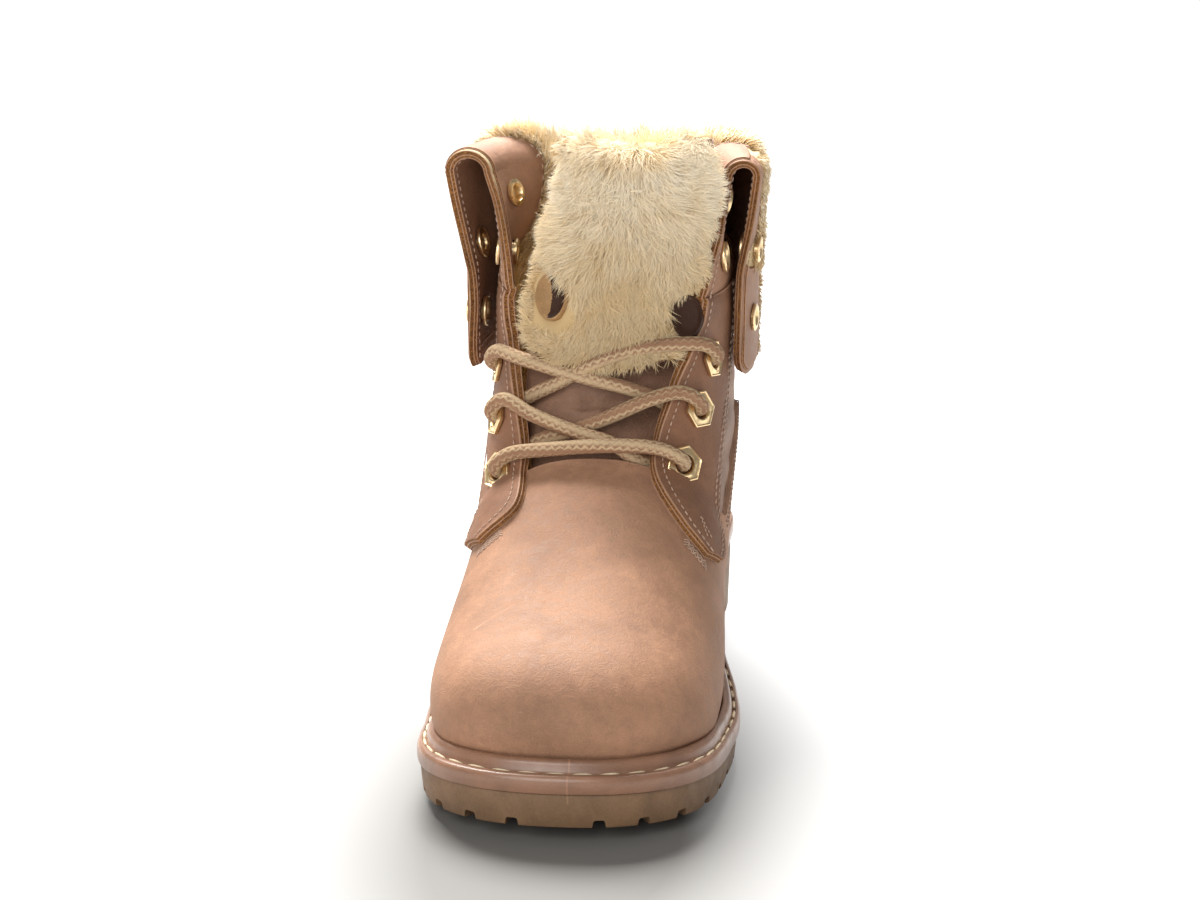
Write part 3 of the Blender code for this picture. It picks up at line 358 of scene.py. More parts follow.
@dataclass
class Last:
    """The form that the boot is built on: plan, heights, and the skins of upper and collar."""

    origin_x: float = -4.0
    origin_s: float = 136.6
    welt_thickness: float = 5.8
    forefoot_height: float = 17.5
    heel_rise: float = 18.5
    spring_start: float = 96.0
    spring_even: float = 56.0
    spring_slope: float = 0.085
    feather_toe: float = 13.5
    feather_heel: float = 263.5
    toe_cap: float = 42.5
    heel_cap: float = 35.5
    toe_power: float = 2.4
    heel_power: float = 2.2
    toe_centre: float = -3.2
    side_margin: float = 7.8
    toe_margin: float = 3.2
    rim_gap: float = 0.45
    heel_row: float = 17.0
    collar_belly: float = 0.52
    flare_reach: float = 42.0
    shaft_waist: float = 9.0
    crest_front: float = 177.0
    crest_drop: float = 11.0
    fold_squash: float = 0.85
    hem_height: float = 107.0
    hem_corner: float = 9.0
    line_points: int = 260
    net_columns: int = 150
    skins: dict = field(default_factory=dict)
    collars: dict = field(default_factory=dict)

    def __post_init__(self) -> None:
        """Build the skins of both sides."""
        for side in Side:
            self.skins[side] = self._upper_skin(side)
            self.collars[side] = self._collar_skin(side)

    def world(self, points: Any) -> Array:
        """Shoe sizes to metres in the scene."""
        p = np.asarray(points, float)
        return np.stack([p[..., 0] - self.origin_x, p[..., 1] - self.origin_s, p[..., 2]], axis=-1) * MM

    def spring(self, s: Array) -> Array:
        """Height of the toe spring."""
        curve = self.spring_slope / (2 * (self.spring_start - self.spring_even))
        bent = curve * np.clip(self.spring_start - s, 0, self.spring_start - self.spring_even) ** 2
        return bent + self.spring_slope * np.clip(self.spring_even - s, 0, None)

    def welt_top(self, s: Array) -> Array:
        """Height of the welt's top face."""
        return self.forefoot_height + self.spring(s) + self.heel_rise * RISE.at(s).share

    def centre(self, s: Array) -> Array:
        """Middle of the feather line, across the boot."""
        row = FEATHER.at(s)
        middle = (row.medial - row.lateral) / 2
        return middle + (self.toe_centre - middle) * ease((self.feather_toe + self.toe_cap + 12 - s) / 50)

    def half(self, s: Array) -> Array:
        """Half the width inside the feather line."""
        toe = np.clip((self.feather_toe + self.toe_cap - s) / self.toe_cap, 0, 1)
        heel = np.clip((s - self.feather_heel + self.heel_cap) / self.heel_cap, 0, 1)
        row = FEATHER.at(s)
        share = ((1 - toe ** self.toe_power) ** (1 / self.toe_power)
                 * (1 - heel ** self.heel_power) ** (1 / self.heel_power))
        return (row.lateral + row.medial) / 2 * share

    def margin(self, s: Array) -> Array:
        """How far the welt stands out from the feather line."""
        return self.side_margin + self.toe_margin * ease((50 - s) / 40) - 0.6 * ease((s - 170) / 40)

    def stations(self, toe: int, middle: int, heel: int) -> Array:
        """Stations along the boot, close together round its two ends."""
        front = np.linspace(0, math.pi / 2, toe + 1)
        back = np.linspace(math.pi / 2, 0, heel + 1)
        front = self.feather_toe + self.toe_cap * (1 - np.cos(front) ** (2 / self.toe_power))
        back = self.feather_heel - self.heel_cap * (1 - np.cos(back) ** (2 / self.heel_power))
        return np.concatenate([front, np.linspace(front[-1], back[0], middle + 2)[1:-1], back])

    def outline(self, stations: Array, margin: Margin) -> list[Array]:
        """The feather line moved outwards.

        Args:
            stations: Stations along the boot.
            margin: How far out, as a function of the station.

        Returns:
            One array of (x, s) for each side, lateral first.
        """
        sides = []
        for sign in (-1, 1):
            line = np.column_stack([self.centre(stations) + sign * self.half(stations), stations])
            tangent = np.gradient(line, axis=0)
            tangent[0], tangent[-1] = (sign, 0), (-sign, 0)
            normal = unit(np.column_stack([tangent[:, 1], -tangent[:, 0]]) * sign)
            sides.append(line + normal * margin(stations)[:, None])
        return sides

    def ring(self, stations: Array, margin: Margin, height: Margin) -> Array:
        """One closed ring round the boot, from a margin and a height as functions of s."""
        lateral, medial = self.outline(stations, margin)
        ring = np.vstack([lateral, medial[-2:0:-1]])
        return np.column_stack([ring, height(ring[:, 1])])

    def _section(self, row: SimpleNamespace, sign: int, low: float) -> tuple[Array, Array]:
        """One side of a section from its base to its crown, with its own half widths.

        Args:
            row: The section's sizes.
            sign: -1 lateral, 1 medial.
            low: Half width at the base.

        Returns:
            Points and half widths.
        """
        half = float(row.lateral if sign < 0 else row.medial)
        belly, power, low_power = max(float(row.belly), 0.0), float(row.power), float(row.low_power)
        rest = max(1 - (low / half) ** low_power, 1e-6) ** (1 / low_power)
        first = -math.asin(min(rest, 1.0) ** (low_power / 2))
        turn = np.linspace(first, math.pi / 2, self.line_points)
        bend = np.where(turn > 0, power, low_power)
        climb = np.sign(turn) * np.abs(np.sin(turn)) ** (2 / bend)
        width = half * np.abs(np.cos(turn)) ** (2 / bend)
        v = belly + climb * np.where(turn > 0, 1 - belly, belly / rest)
        x = row.crown_x * ease(v) + sign * width
        s = row.base_s + (row.crown_s - row.base_s) * v
        z = row.base_z + (row.crown_z - row.base_z) * v
        return np.column_stack([x, s, z]), width

    def _toe_line(self, sign: int) -> tuple[Array, Array]:
        """The first section, which lies along the feather line round the toe."""
        turn = np.linspace(math.pi / 2, 0, self.line_points)
        s = self.feather_toe + self.toe_cap * (1 - np.cos(turn) ** (2 / self.toe_power))
        half = self.half(s)
        return np.column_stack([self.centre(s) + sign * half, s, self.welt_top(s) + self.rim_gap]), half

    def _line(self, t: float, side: Side) -> tuple[Array, float, float]:
        """One row of the upper's net: its points, length to the throat line, and whole length."""
        row, sign = UPPER.at(t), side.value
        if t <= 0:
            line, width = self._toe_line(sign)
        else:
            low = 0.0
            if t < self.heel_row:
                row.base_z = self.welt_top(row.base_s) + self.rim_gap
                middle, half = float(self.centre(row.base_s)), float(self.half(row.base_s))
                low = half + sign * middle
            line, width = self._section(row, sign, low)
        throat = float(row.throat_lateral if sign < 0 else row.throat_medial)
        arc = lengths(line)
        peak = int(np.argmax(width))
        front = float(np.interp(-throat, -width[peak:], arc[peak:]))
        where = np.linspace(0, arc[-1], self.net_columns)
        return np.column_stack([np.interp(where, arc, line[:, i]) for i in range(3)]), front, float(arc[-1])

    def _upper_skin(self, side: Side) -> Skin:
        """Net of one side of the upper, smooth through its first rows at the toe."""
        first = [self._line(t, side) for t in (0.0, 1.0, 2.0, 3.0)]
        knots = np.concatenate([np.linspace(0, 1, 12)[:-1], np.linspace(1, 16, 226)[:-1],
                                self.heel_row - np.linspace(1, 0, 28)[:-1] ** 1.9,
                                np.linspace(self.heel_row, 21, 61)])
        lines = []
        for t in knots:
            if t < 1:
                lines.append(tuple(smooth(range(4), [f[k] for f in first], t) for k in range(3)))
            else:
                lines.append(self._line(float(t), side))
        net = np.array([line[0] for line in lines])
        return Skin(knots, self._relaxed(net), np.array([line[1] for line in lines], float),
                    np.array([line[2] for line in lines], float), side)

    @staticmethod
    def _relaxed(net: Array) -> Array:
        """Even out the mild line along which the heel's sections change."""
        soft = net.copy()
        for _ in range(14):
            inner = (soft[:-2] + 2 * soft[1:-1] + soft[2:]) / 4
            span = np.linspace(0, 1, len(soft))[1:-1, None, None]
            soft[1:-1] += (inner - soft[1:-1]) * ease((span - 0.66) / 0.05) * ease((0.93 - span) / 0.05)
        return soft

    def _level(self, table: Table, z: float, side: Side, shares: Array) -> tuple[Array, float]:
        """Grain side of one level section of the collar.

        Args:
            table: Standing or hanging sections.
            z: Height of the section.
            side: Side of the boot.
            shares: Shares of the way from its front edge to the back.

        Returns:
            Points, and the section's length.
        """
        row, sign = table.at(z), side.value
        half, throat, edge, flare = (
            (row.lateral, row.throat_lateral, row.edge_lateral, row.flare_lateral) if sign < 0 else
            (row.medial, row.throat_medial, row.edge_medial, row.flare_medial))
        straight = throat - flare
        reach = self.collar_belly + (1 - self.collar_belly) * max(1 - (straight / half) ** 2, 1e-6) ** 0.5
        level = SimpleNamespace(crown_x=0.0, crown_s=row.back_s - (row.back_s - edge) / reach, crown_z=z,
                                base_s=row.back_s, base_z=z, lateral=half, medial=half,
                                belly=self.collar_belly, power=2.0, low_power=2.0)
        line, width = self._section(level, sign, 0.0)
        arc = lengths(line)
        peak = int(np.argmax(width))
        length = float(np.interp(-straight, -width[peak:], arc[peak:]))
        points = np.column_stack([np.interp((1 - shares) * length, arc, line[:, i]) for i in range(3)])
        behind = shares * length
        points[:, 0] += sign * flare * np.clip(1 - behind / self.flare_reach, 0, None) ** 2
        if table is STANDING:
            waist = ease((z - 142) / 24) * ease(behind / 32) * ease((92 - behind) / 50)
            points[:, 0] -= sign * self.shaft_waist * waist
        return points, length

    def _collar_skin(self, side: Side) -> Skin:
        """Net of one side of the collar: row 0 to 1 up the shaft, to 2 over the fold, to 3 down."""
        shares = np.linspace(1, 0, self.net_columns)
        length = self._level(STANDING, 160.0, side, shares)[1]
        crest = self.crest_front - self.crest_drop * ease(shares / 0.85)
        corner = np.clip(1 - shares * length / self.hem_corner, 0, 1)
        hem = self.hem_height + self.hem_corner * (1 - np.sqrt(1 - corner ** 2))

        def columns(table: Table, heights: Array) -> Array:
            """Points of every column at its own heights."""
            levels = table.rows[:, 0]
            stack = np.array([self._level(table, z, side, shares)[0] for z in levels])
            return np.stack([smooth(levels, stack[:, c], heights[:, c]) for c in range(len(shares))], axis=1)

        inside = columns(STANDING, 139.9 + (crest - 139.9) * np.linspace(0, 1, 41)[:, None])
        outside = columns(HANGING, crest + (hem - crest) * np.linspace(0, 1, 61)[:, None])
        middle = (inside[-1] + outside[0]) / 2
        arm = inside[-1] - middle
        turn = np.linspace(0, math.pi, 25)[1:-1, None, None]
        lift = np.linalg.norm(arm, axis=1)[:, None] * self.fold_squash * np.array([0, 0, 1.0])
        net = np.concatenate([inside, middle + arm * np.cos(turn) + lift * np.sin(turn), outside])
        knots = np.concatenate([np.linspace(0, 1, 41), np.linspace(1, 2, 25)[1:-1], np.linspace(2, 3, 61)])
        whole = np.full(len(knots), length)
        return Skin(knots, net, whole, whole, side)


LAST = Last()
HEEL_ROWS = LAST.heel_row - np.linspace(math.sqrt(0.5), 0, 12)[:-1] ** 2


# ---------------------------------------------------------------- node trees
class Wiring:
    """Short calls for wiring a node tree."""

    def __init__(self, tree: Tree) -> None:
        """Keep the tree."""
        self.tree = tree

    def add(self, kind: str, values: dict[Any, Any] | None = None, **settings: Any) -> Any:
        """Add a node.

        Args:
            kind: The node's type name.
            values: Socket name or number to a constant or another node's output.
            settings: Properties of the node.

        Returns:
            The node.
        """
        node = self.tree.nodes.new(kind)
        for name, value in settings.items():
            setattr(node, name, value)
        for name, value in (values or {}).items():
            if isinstance(value, bpy.types.NodeSocket):
                self.tree.links.new(value, node.inputs[name])
            else:
                node.inputs[name].default_value = value
        return node

    def geometry(self, kind: str, values: dict[Any, Any] | None = None, **settings: Any) -> Any:
        """First output of a new Geometry node."""
        return self.add("GeometryNode" + kind, values, **settings).outputs[0]

    def maths(self, operation: str, *terms: Any) -> Any:
        """Result of a Math node."""
        return self.add("ShaderNodeMath", dict(enumerate(terms)), operation=operation).outputs[0]

    def vector(self, operation: str, *terms: Any) -> Any:
        """Result of a Vector Math node."""
        sockets = (0, "Scale") if operation == "SCALE" else range(2)
        node = self.add("ShaderNodeVectorMath", dict(zip(sockets, terms)), operation=operation)
        return node.outputs["Value" if operation in ("LENGTH", "DOT_PRODUCT") else "Vector"]

    def mapped(self, place: Any, **settings: Any) -> Any:
        """Coordinates moved, turned or stretched by a Mapping node."""
        return self.add("ShaderNodeMapping", {"Vector": place} | settings).outputs[0]

    def attribute(self, name: str) -> Any:
        """A value kept on the mesh."""
        return self.add("ShaderNodeAttribute", attribute_name=name).outputs["Fac"]

    def turned(self, upward: Any, forward: Any) -> Any:
        """Rotation that turns Z upward and X forward."""
        return self.add("FunctionNodeAxesToRotation", {0: upward, 1: forward}, primary_axis="Z",
                        secondary_axis="X").outputs[0]

    def sized(self, *sizes: Any) -> Any:
        """A vector of three sizes."""
        return self.add("ShaderNodeCombineXYZ", dict(enumerate(sizes))).outputs[0]

    def noise(self, place: Any, size: float, detail: float = 3.0, stretch: float = 0.0) -> Any:
        """A noise pattern with features of a size in millimetres."""
        return self.add("ShaderNodeTexNoise", {"Vector": place, "Scale": 1000 / size, "Detail": detail,
                                               "Distortion": stretch}).outputs[0]

    def ramp(self, factor: Any, stops: Sequence[tuple[float, Any]]) -> Any:
        """Colours or values along a factor.

        Args:
            factor: What is read.
            stops: (position, colour or value) pairs.

        Returns:
            The colour output.
        """
        node = self.add("ShaderNodeValToRGB", {0: factor})
        elements = node.color_ramp.elements
        while len(elements) < len(stops):
            elements.new(0.5)
        for element, (where, color) in zip(elements, stops):
            element.position = where
            color = color if isinstance(color, tuple) else (color,) * 3
            element.color = (*color, 1.0)
        return node.outputs[0]

    def mix(self, factor: Any, first: Any, second: Any, blend: str = "MIX") -> Any:
        """Blend of two colours."""
        values = {0: factor}
        for index, color in ((6, first), (7, second)):
            values[index] = (*color, 1.0) if isinstance(color, tuple) else color
        return self.add("ShaderNodeMix", values, data_type="RGBA", blend_type=blend).outputs[2]

    def bump(self, height: Any, depth: float, strength: float = 1.0, under: Any = None) -> Any:
        """A bump.

        Args:
            height: The pattern.
            depth: Its depth in millimetres.
            strength: Its share.
            under: A bump below it.

        Returns:
            The normal output.
        """
        values = {"Height": height, "Distance": depth * MM, "Strength": strength}
        if under is not None:
            values["Normal"] = under
        return self.add("ShaderNodeBump", values).outputs[0]


def shaded(name: str, constants: dict[str, Any]) -> tuple[bpy.types.Material, Wiring, Any, Any]:
    """A new Principled material.

    Args:
        name: Its name.
        constants: Constants set on the shader's own sockets.

    Returns:
        The material, its wiring, its shader and the object coordinates.
    """
    made = bpy.data.materials.new(name)
    made.use_nodes = True
    wiring = Wiring(made.node_tree)
    shader = made.node_tree.nodes["Principled BSDF"]
    for socket, value in constants.items():
        shader.inputs[socket].default_value = value
    place = wiring.add("ShaderNodeTexCoord").outputs["Object"]
    return made, wiring, shader, place


def connect(wiring: Wiring, shader: Any, color: Any, roughness: Any, normal: Any) -> None:
    """Wire a finish's colour, roughness and normal to its shader."""
    for socket, value in (("Base Color", color), ("Roughness", roughness), ("Normal", normal)):
        wiring.tree.links.new(value, shader.inputs[socket])


def tinted(color: Triple, share: float) -> Triple:
    """A colour made lighter or darker."""
    return tuple(min(1.0, c * share) for c in color)


# ---------------------------------------------------------------- finishes
SCRATCH_START = (-0.0304, -0.0872, 0.0528)
SCRATCH_RUN = (0.773, 0.49, 0.402)
SCRATCH_LENGTH = 0.0172
MOULD_JOIN_X, MOULD_JOIN_Y, MOULD_JOIN_Z = 0.0049, -0.11, 0.0145


@dataclass(frozen=True)
class Nubuck:
    """Sanded leather: cloudy, finely grained, with soft lighter rubs and a few fine creases."""

    name: str = "nubuck_leather"
    color: Triple = (0.35, 0.188, 0.113)
    rubs: float = 0.35
    roughness: float = 0.66
    wrinkles: float = 0.1

    def make(self) -> bpy.types.Material:
        """Build the material."""
        made, w, shader, place = shaded(self.name, {"Specular IOR Level": 0.3})
        clouds = w.noise(place, 22, 3, 0.6)
        mottle = w.noise(place, 3.2, 4)
        grain = w.noise(place, 0.42, 4)
        color = w.ramp(clouds, [(0.3, tinted(self.color, 0.84)), (0.52, self.color),
                                (0.72, tinted(self.color, 1.13))])
        color = w.mix(0.5, color, w.ramp(mottle, [(0.3, 0.42), (0.7, 0.6)]), "OVERLAY")
        color = w.mix(0.35, color, w.ramp(grain, [(0.32, 0.36), (0.66, 0.64)]), "OVERLAY")
        along = w.mapped(place, Scale=(1.0, 0.35, 0.6))
        rub = w.ramp(w.noise(along, 9, 6, 1.2), [(0.6, 0.0), (0.8, self.rubs)])
        color = w.mix(rub, color, tinted(self.color, 1.42))
        scratch = w.mapped(place, Rotation=(0.3, 0.2, 0.9), Scale=(0.18, 2.6, 1.0))
        mark = w.ramp(w.noise(scratch, 2.4, 2, 0.3), [(0.735, 0.0), (0.76, 0.32)])
        color = w.mix(mark, color, tinted(self.color, 1.6))
        offset = w.vector("SUBTRACT", place, SCRATCH_START)
        off = w.vector("LENGTH", w.vector("CROSS_PRODUCT", offset, SCRATCH_RUN))
        along = w.vector("DOT_PRODUCT", offset, SCRATCH_RUN)
        thin = w.ramp(w.maths("MULTIPLY", off, 1000), [(0.16, 0.75), (0.55, 0.0)])
        within = w.ramp(w.maths("DIVIDE", along, SCRATCH_LENGTH),
                        [(0.0, 0.0), (0.12, 1.0), (0.6, 0.7), (1.0, 0.0)])
        color = w.mix(w.maths("MULTIPLY", thin, within), color, tinted(self.color, 1.9))
        rough = w.ramp(mottle, [(0.25, self.roughness - 0.09), (0.75, self.roughness + 0.1)])
        creases = w.ramp(w.noise(place, 4.5, 5, 2.2), [(0.4, 0.0), (0.5, 1.0), (0.6, 0.0)])
        relief = w.bump(creases, self.wrinkles, 0.55)
        relief = w.bump(mottle, 0.1, 0.5, relief)
        connect(w, shader, color, rough, w.bump(grain, 0.045, 0.6, relief))
        return made


@dataclass(frozen=True)
class RawEdge:
    """Cut edge of the leather: a brown, granular core."""

    name: str = "raw_leather_edge"
    dark: Triple = (0.085, 0.03, 0.009)
    light: Triple = (0.36, 0.155, 0.045)

    def make(self) -> bpy.types.Material:
        """Build the material."""
        made, w, shader, place = shaded(self.name, {"Specular IOR Level": 0.25})
        crumbs = w.noise(place, 0.55, 5)
        color = w.ramp(crumbs, [(0.36, self.dark), (0.52, tinted(self.light, 0.55)), (0.68, self.light)])
        color = w.mix(0.5, color, w.ramp(w.noise(place, 7, 2), [(0.3, 0.38), (0.7, 0.62)]), "OVERLAY")
        rough = w.ramp(crumbs, [(0.3, 0.72), (0.7, 0.9)])
        connect(w, shader, color, rough, w.bump(crumbs, 0.22, 0.9))
        return made


@dataclass(frozen=True)
class Pile:
    """Fur: each hair darker at its root as painted shade deep in the pile and lighter high on the boot as
    painted light, its tone its own, in patches of cream and straw.
    """

    name: str = "fur_pile"
    root: Triple = (0.72, 0.52, 0.3)
    middle: Triple = (0.97, 0.81, 0.56)
    tip: Triple = (1.0, 0.93, 0.78)
    patch: Triple = (0.9, 0.7, 0.4)

    def make(self) -> bpy.types.Material:
        """Build the material."""
        made, w, shader, place = shaded(self.name, {"Specular IOR Level": 0.06})
        along = w.attribute("along")
        tone = w.attribute("tone")
        # Painted shade: each hair darkens towards its root, deep in the pile.
        color = w.ramp(along, [(0.0, self.root), (0.45, self.middle), (1.0, self.tip)])
        yellow = w.ramp(w.noise(place, 16, 3, 0.8), [(0.42, 0.0), (0.68, 0.42)])
        color = w.mix(yellow, color, self.patch)
        # Painted light: the fur is lighter high on the boot and darker low down, as the light falls from
        # above.
        height = w.add("ShaderNodeSeparateXYZ", {0: place}).outputs["Z"]
        painted_top_light = w.ramp(height, [(0.104, (0.66, 0.55, 0.4)), (0.14, (0.86, 0.78, 0.64)),
                               (0.176, (1.0, 1.0, 1.0))])
        color = w.mix(1.0, color, painted_top_light, "MULTIPLY")
        color = w.mix(1.0, color, w.ramp(tone, [(0.0, 0.8), (0.5, 0.96), (1.0, 1.0)]), "MULTIPLY")
        rough = w.ramp(tone, [(0.0, 0.62), (1.0, 0.85)])
        connect(w, shader, color, rough, w.bump(w.noise(place, 0.3, 2), 0.05, 0.4))
        return made


@dataclass(frozen=True)
class Moulded:
    """Moulded rubber or welting, rubbed lighter in places."""

    name: str
    color: Triple
    gloss: tuple[float, float]
    grain: float
    pearl: float = 0.0

    def make(self) -> bpy.types.Material:
        """Build the material."""
        made, w, shader, place = shaded(self.name, {"Coat Weight": self.pearl, "Coat Roughness": 0.32})
        fine, patches = w.noise(place, self.grain, 4), w.noise(place, 14, 4, 0.7)
        color = w.ramp(patches, [(0.32, tinted(self.color, 0.8)), (0.52, self.color),
                                 (0.72, tinted(self.color, 1.18))])
        color = w.mix(0.4, color, w.ramp(fine, [(0.3, 0.38), (0.7, 0.62)]), "OVERLAY")
        scuff = w.ramp(w.noise(place, 2.2, 6, 1.0), [(0.62, 0.0), (0.78, 0.4)])
        color = w.mix(scuff, color, tinted(self.color, 1.5))
        dust = w.ramp(w.noise(place, 0.9, 3), [(0.7, 0.0), (0.76, 0.5)])
        color = w.mix(dust, color, tinted(self.color, 0.55))
        axes = w.add("ShaderNodeSeparateXYZ", {0: place}).outputs
        off = w.maths("ABSOLUTE", w.maths("MULTIPLY", w.maths("SUBTRACT", axes["X"], MOULD_JOIN_X), 1000))
        join = w.maths("MULTIPLY", w.ramp(off, [(0.12, 0.55), (0.4, 0.0)]),
                       w.maths("LESS_THAN", axes["Y"], MOULD_JOIN_Y))
        join = w.maths("MULTIPLY", join, w.maths("GREATER_THAN", axes["Z"], MOULD_JOIN_Z))
        color = w.mix(join, color, tinted(self.color, 1.7))
        rough = w.ramp(w.noise(place, 5, 5, 0.8), [(0.3, self.gloss[0]), (0.7, self.gloss[1])])
        relief = w.bump(patches, 0.1, 0.4)
        connect(w, shader, color, rough, w.bump(fine, 0.05, 0.5, relief))
        return made


@dataclass(frozen=True)
class Brass:
    """Pale plated brass, with fine marks and a little tarnish."""

    name: str = "brass_plating"
    color: Triple = (0.83, 0.63, 0.36)
    tarnish: Triple = (0.42, 0.24, 0.1)

    def make(self) -> bpy.types.Material:
        """Build the material."""
        made, w, shader, place = shaded(self.name, {"Metallic": 1.0})
        stains, fine = w.noise(place, 2.8, 4, 0.6), w.noise(place, 0.3, 3)
        color = w.ramp(stains, [(0.24, self.tarnish), (0.4, self.color), (0.8, tinted(self.color, 1.12))])
        rough = w.ramp(w.noise(place, 2.1, 3), [(0.3, 0.26), (0.75, 0.38)])
        connect(w, shader, color, rough, w.bump(fine, 0.004, 0.3))
        return made


@dataclass(frozen=True)
class Braid:
    """Braided lace: one half of its yarns cream and the other half a pinkish tan."""

    name: str = "lace_braid"
    tan: Triple = (0.31, 0.172, 0.1)
    cream: Triple = (0.53, 0.385, 0.235)

    def make(self) -> bpy.types.Material:
        """Build the material."""
        made, w, shader, place = shaded(self.name, {"Specular IOR Level": 0.2})
        cream = w.attribute("cream")
        relief = w.attribute("relief")
        fibres = w.noise(place, 0.22, 3)
        color = w.mix(w.ramp(cream, [(0.3, 0.0), (0.7, 1.0)]), self.tan, self.cream)
        # Painted shade: the braid is darker in the hollows between its yarns.
        color = w.mix(1.0, color, w.ramp(relief, [(0.1, 0.46), (0.7, 1.0)]), "MULTIPLY")
        color = w.mix(0.5, color, w.ramp(fibres, [(0.3, 0.36), (0.7, 0.64)]), "OVERLAY")
        rough = w.ramp(fibres, [(0.3, 0.68), (0.7, 0.88)])
        connect(w, shader, color, rough, w.bump(fibres, 0.06, 0.8))
        return made


@dataclass(frozen=True)
class Thread:
    """Waxed sewing thread with its twist."""

    name: str
    color: Triple

    def make(self) -> bpy.types.Material:
        """Build the material."""
        made, w, shader, place = shaded(self.name, {"Specular IOR Level": 0.4})
        twist, patches = w.noise(place, 0.25, 2), w.noise(place, 5, 3)
        color = w.ramp(patches, [(0.3, tinted(self.color, 0.72)), (0.7, tinted(self.color, 1.12))])
        color = w.mix(0.5, color, w.ramp(twist, [(0.3, 0.36), (0.7, 0.64)]), "OVERLAY")
        connect(w, shader, color, w.ramp(patches, [(0.3, 0.45), (0.7, 0.65)]), w.bump(twist, 0.05, 0.8))
        return made


class Finish(Enum):
    """The finishes of the boot."""

    NUBUCK = Nubuck()
    QUARTER = Nubuck("quarter_leather", (0.29, 0.172, 0.118), rubs=0.18, roughness=0.62, wrinkles=0.14)
    LINING = Nubuck("facing_leather", (0.335, 0.185, 0.118), rubs=0.25, roughness=0.58, wrinkles=0.12)
    TONGUE = Nubuck("tongue_leather", (0.27, 0.15, 0.096), rubs=0.2, roughness=0.6, wrinkles=0.22)
    SLOT = Nubuck("slot_leather", (0.37, 0.215, 0.095), rubs=0.2, roughness=0.62, wrinkles=0.12)
    # Painted shade: a darker copy of the upper's leather, for the shaded sides of the eyestays.
    EYESTAY = Nubuck("eyestay_leather", (0.24, 0.118, 0.067), rubs=0.3, roughness=0.62)
    EDGE = RawEdge()
    SKIN = Nubuck("edge_skin", (0.41, 0.235, 0.15), rubs=0.1, roughness=0.6, wrinkles=0.05)
    FUR = Pile()
    BACKING = Pile("fur_backing", (0.86, 0.7, 0.46))
    WELT = Moulded("welt_rubber", (0.275, 0.14, 0.083), gloss=(0.3, 0.48), grain=0.5, pearl=0.45)
    CREPE = Moulded("crepe_rubber", (0.208, 0.12, 0.062), gloss=(0.5, 0.68), grain=0.8)
    BRASS = Brass()
    LACE = Braid()
    THREAD = Thread("seam_thread", (0.5, 0.34, 0.25))
    WELT_THREAD = Thread("welt_thread", (0.82, 0.68, 0.47))
    SHADE = Nubuck("inner_shade", (0.045, 0.018, 0.009), rubs=0.1, roughness=0.7, wrinkles=0.08)

    @property
    def material(self) -> bpy.types.Material:
        """The material of this finish, made once."""
        return bpy.data.materials.get(self.value.name) or self.value.make()


# ---------------------------------------------------------------- meshes
class Draft:
    """Points and faces gathered for one piece, in shoe sizes."""

    def __init__(self) -> None:
        """Start empty."""
        self.points: list[Array] = []
        self.faces: list[Array] = []
        self.finishes: list[Array] = []
        self.marks: dict[str, list[Array]] = {}
        self.count = 0

    def add(self, points: Array, faces: Array, finish: Any = 0, **marks: Array) -> None:
        """Add points and quads.

        Args:
            points: One point a row.
            faces: Quads of point numbers; a triangle repeats its last.
            finish: Number, or one number a face, of the piece's finish.
            marks: Values for each point, by attribute name.
        """
        start, points, faces = self.count, np.asarray(points, float).reshape(-1, 3), np.asarray(faces)
        self.points.append(points)
        self.faces.append(faces + start)
        self.finishes.append(np.broadcast_to(np.asarray(finish), len(faces)).copy())
        for name, values in marks.items():
            held = self.marks.setdefault(name, [])
            missing = start - sum(len(v) for v in held)
            held += [np.zeros(missing), np.asarray(values, float).reshape(-1)]
        self.count += len(points)

    def net(self, net: Array, finish: Any = 0, closed: bool = False, flip: bool = False,
            **marks: Array) -> None:
        """Add a grid, rows by columns of points; closed if its last column meets the first."""
        rows, columns = net.shape[:2]
        self.add(net.reshape(-1, 3), grid_quads(rows, columns, closed, flip), finish, **marks)

    def make(self, name: str, *finishes: Finish, outward: bool = True) -> Piece:
        """Turn the draft into an object.

        Args:
            name: The piece's name.
            finishes: Its finishes, in the order of their numbers.
            outward: Whether its faces are turned to point out of closed bodies.

        Returns:
            The object.
        """
        points = LAST.world(np.vstack(self.points))
        faces = np.vstack(self.faces)
        numbers = np.concatenate(self.finishes)
        mesh = bpy.data.meshes.new(name)
        mesh.from_pydata(points.tolist(), [], [tuple(dict.fromkeys(f)) for f in faces.tolist()])
        for label, values in self.marks.items():
            mark(mesh, label, np.concatenate([*values, np.zeros(self.count - sum(len(v) for v in values))]))
        for finish in finishes:
            mesh.materials.append(finish.material)
        mesh.polygons.foreach_set("material_index", numbers.astype(np.int32))
        shape = bmesh.new()
        shape.from_mesh(mesh)
        bmesh.ops.remove_doubles(shape, verts=shape.verts, dist=2e-6)
        bmesh.ops.dissolve_degenerate(shape, edges=shape.edges, dist=1e-6)
        if outward:
            bmesh.ops.recalc_face_normals(shape, faces=shape.faces)
        shape.to_mesh(mesh)
        shape.free()
        mesh.shade_smooth()
        mesh.set_sharp_from_angle(angle=SHARP_EDGE)
        return placed(name, mesh)


def grid_quads(rows: int, columns: int, closed: bool = False, flip: bool = False) -> Array:
    """Quads of a grid stored row by row.

    Args:
        rows: How many rows.
        columns: How many columns.
        closed: Whether the last column meets the first.
        flip: Whether the quads are turned over.

    Returns:
        One quad a row.
    """
    r, c = np.meshgrid(np.arange(rows - 1), np.arange(columns if closed else columns - 1), indexing="ij")
    n = (c + 1) % columns
    quads = np.stack([r * columns + c, r * columns + n, (r + 1) * columns + n, (r + 1) * columns + c], -1)
    quads = quads.reshape(-1, 4)
    return quads[:, ::-1] if flip else quads


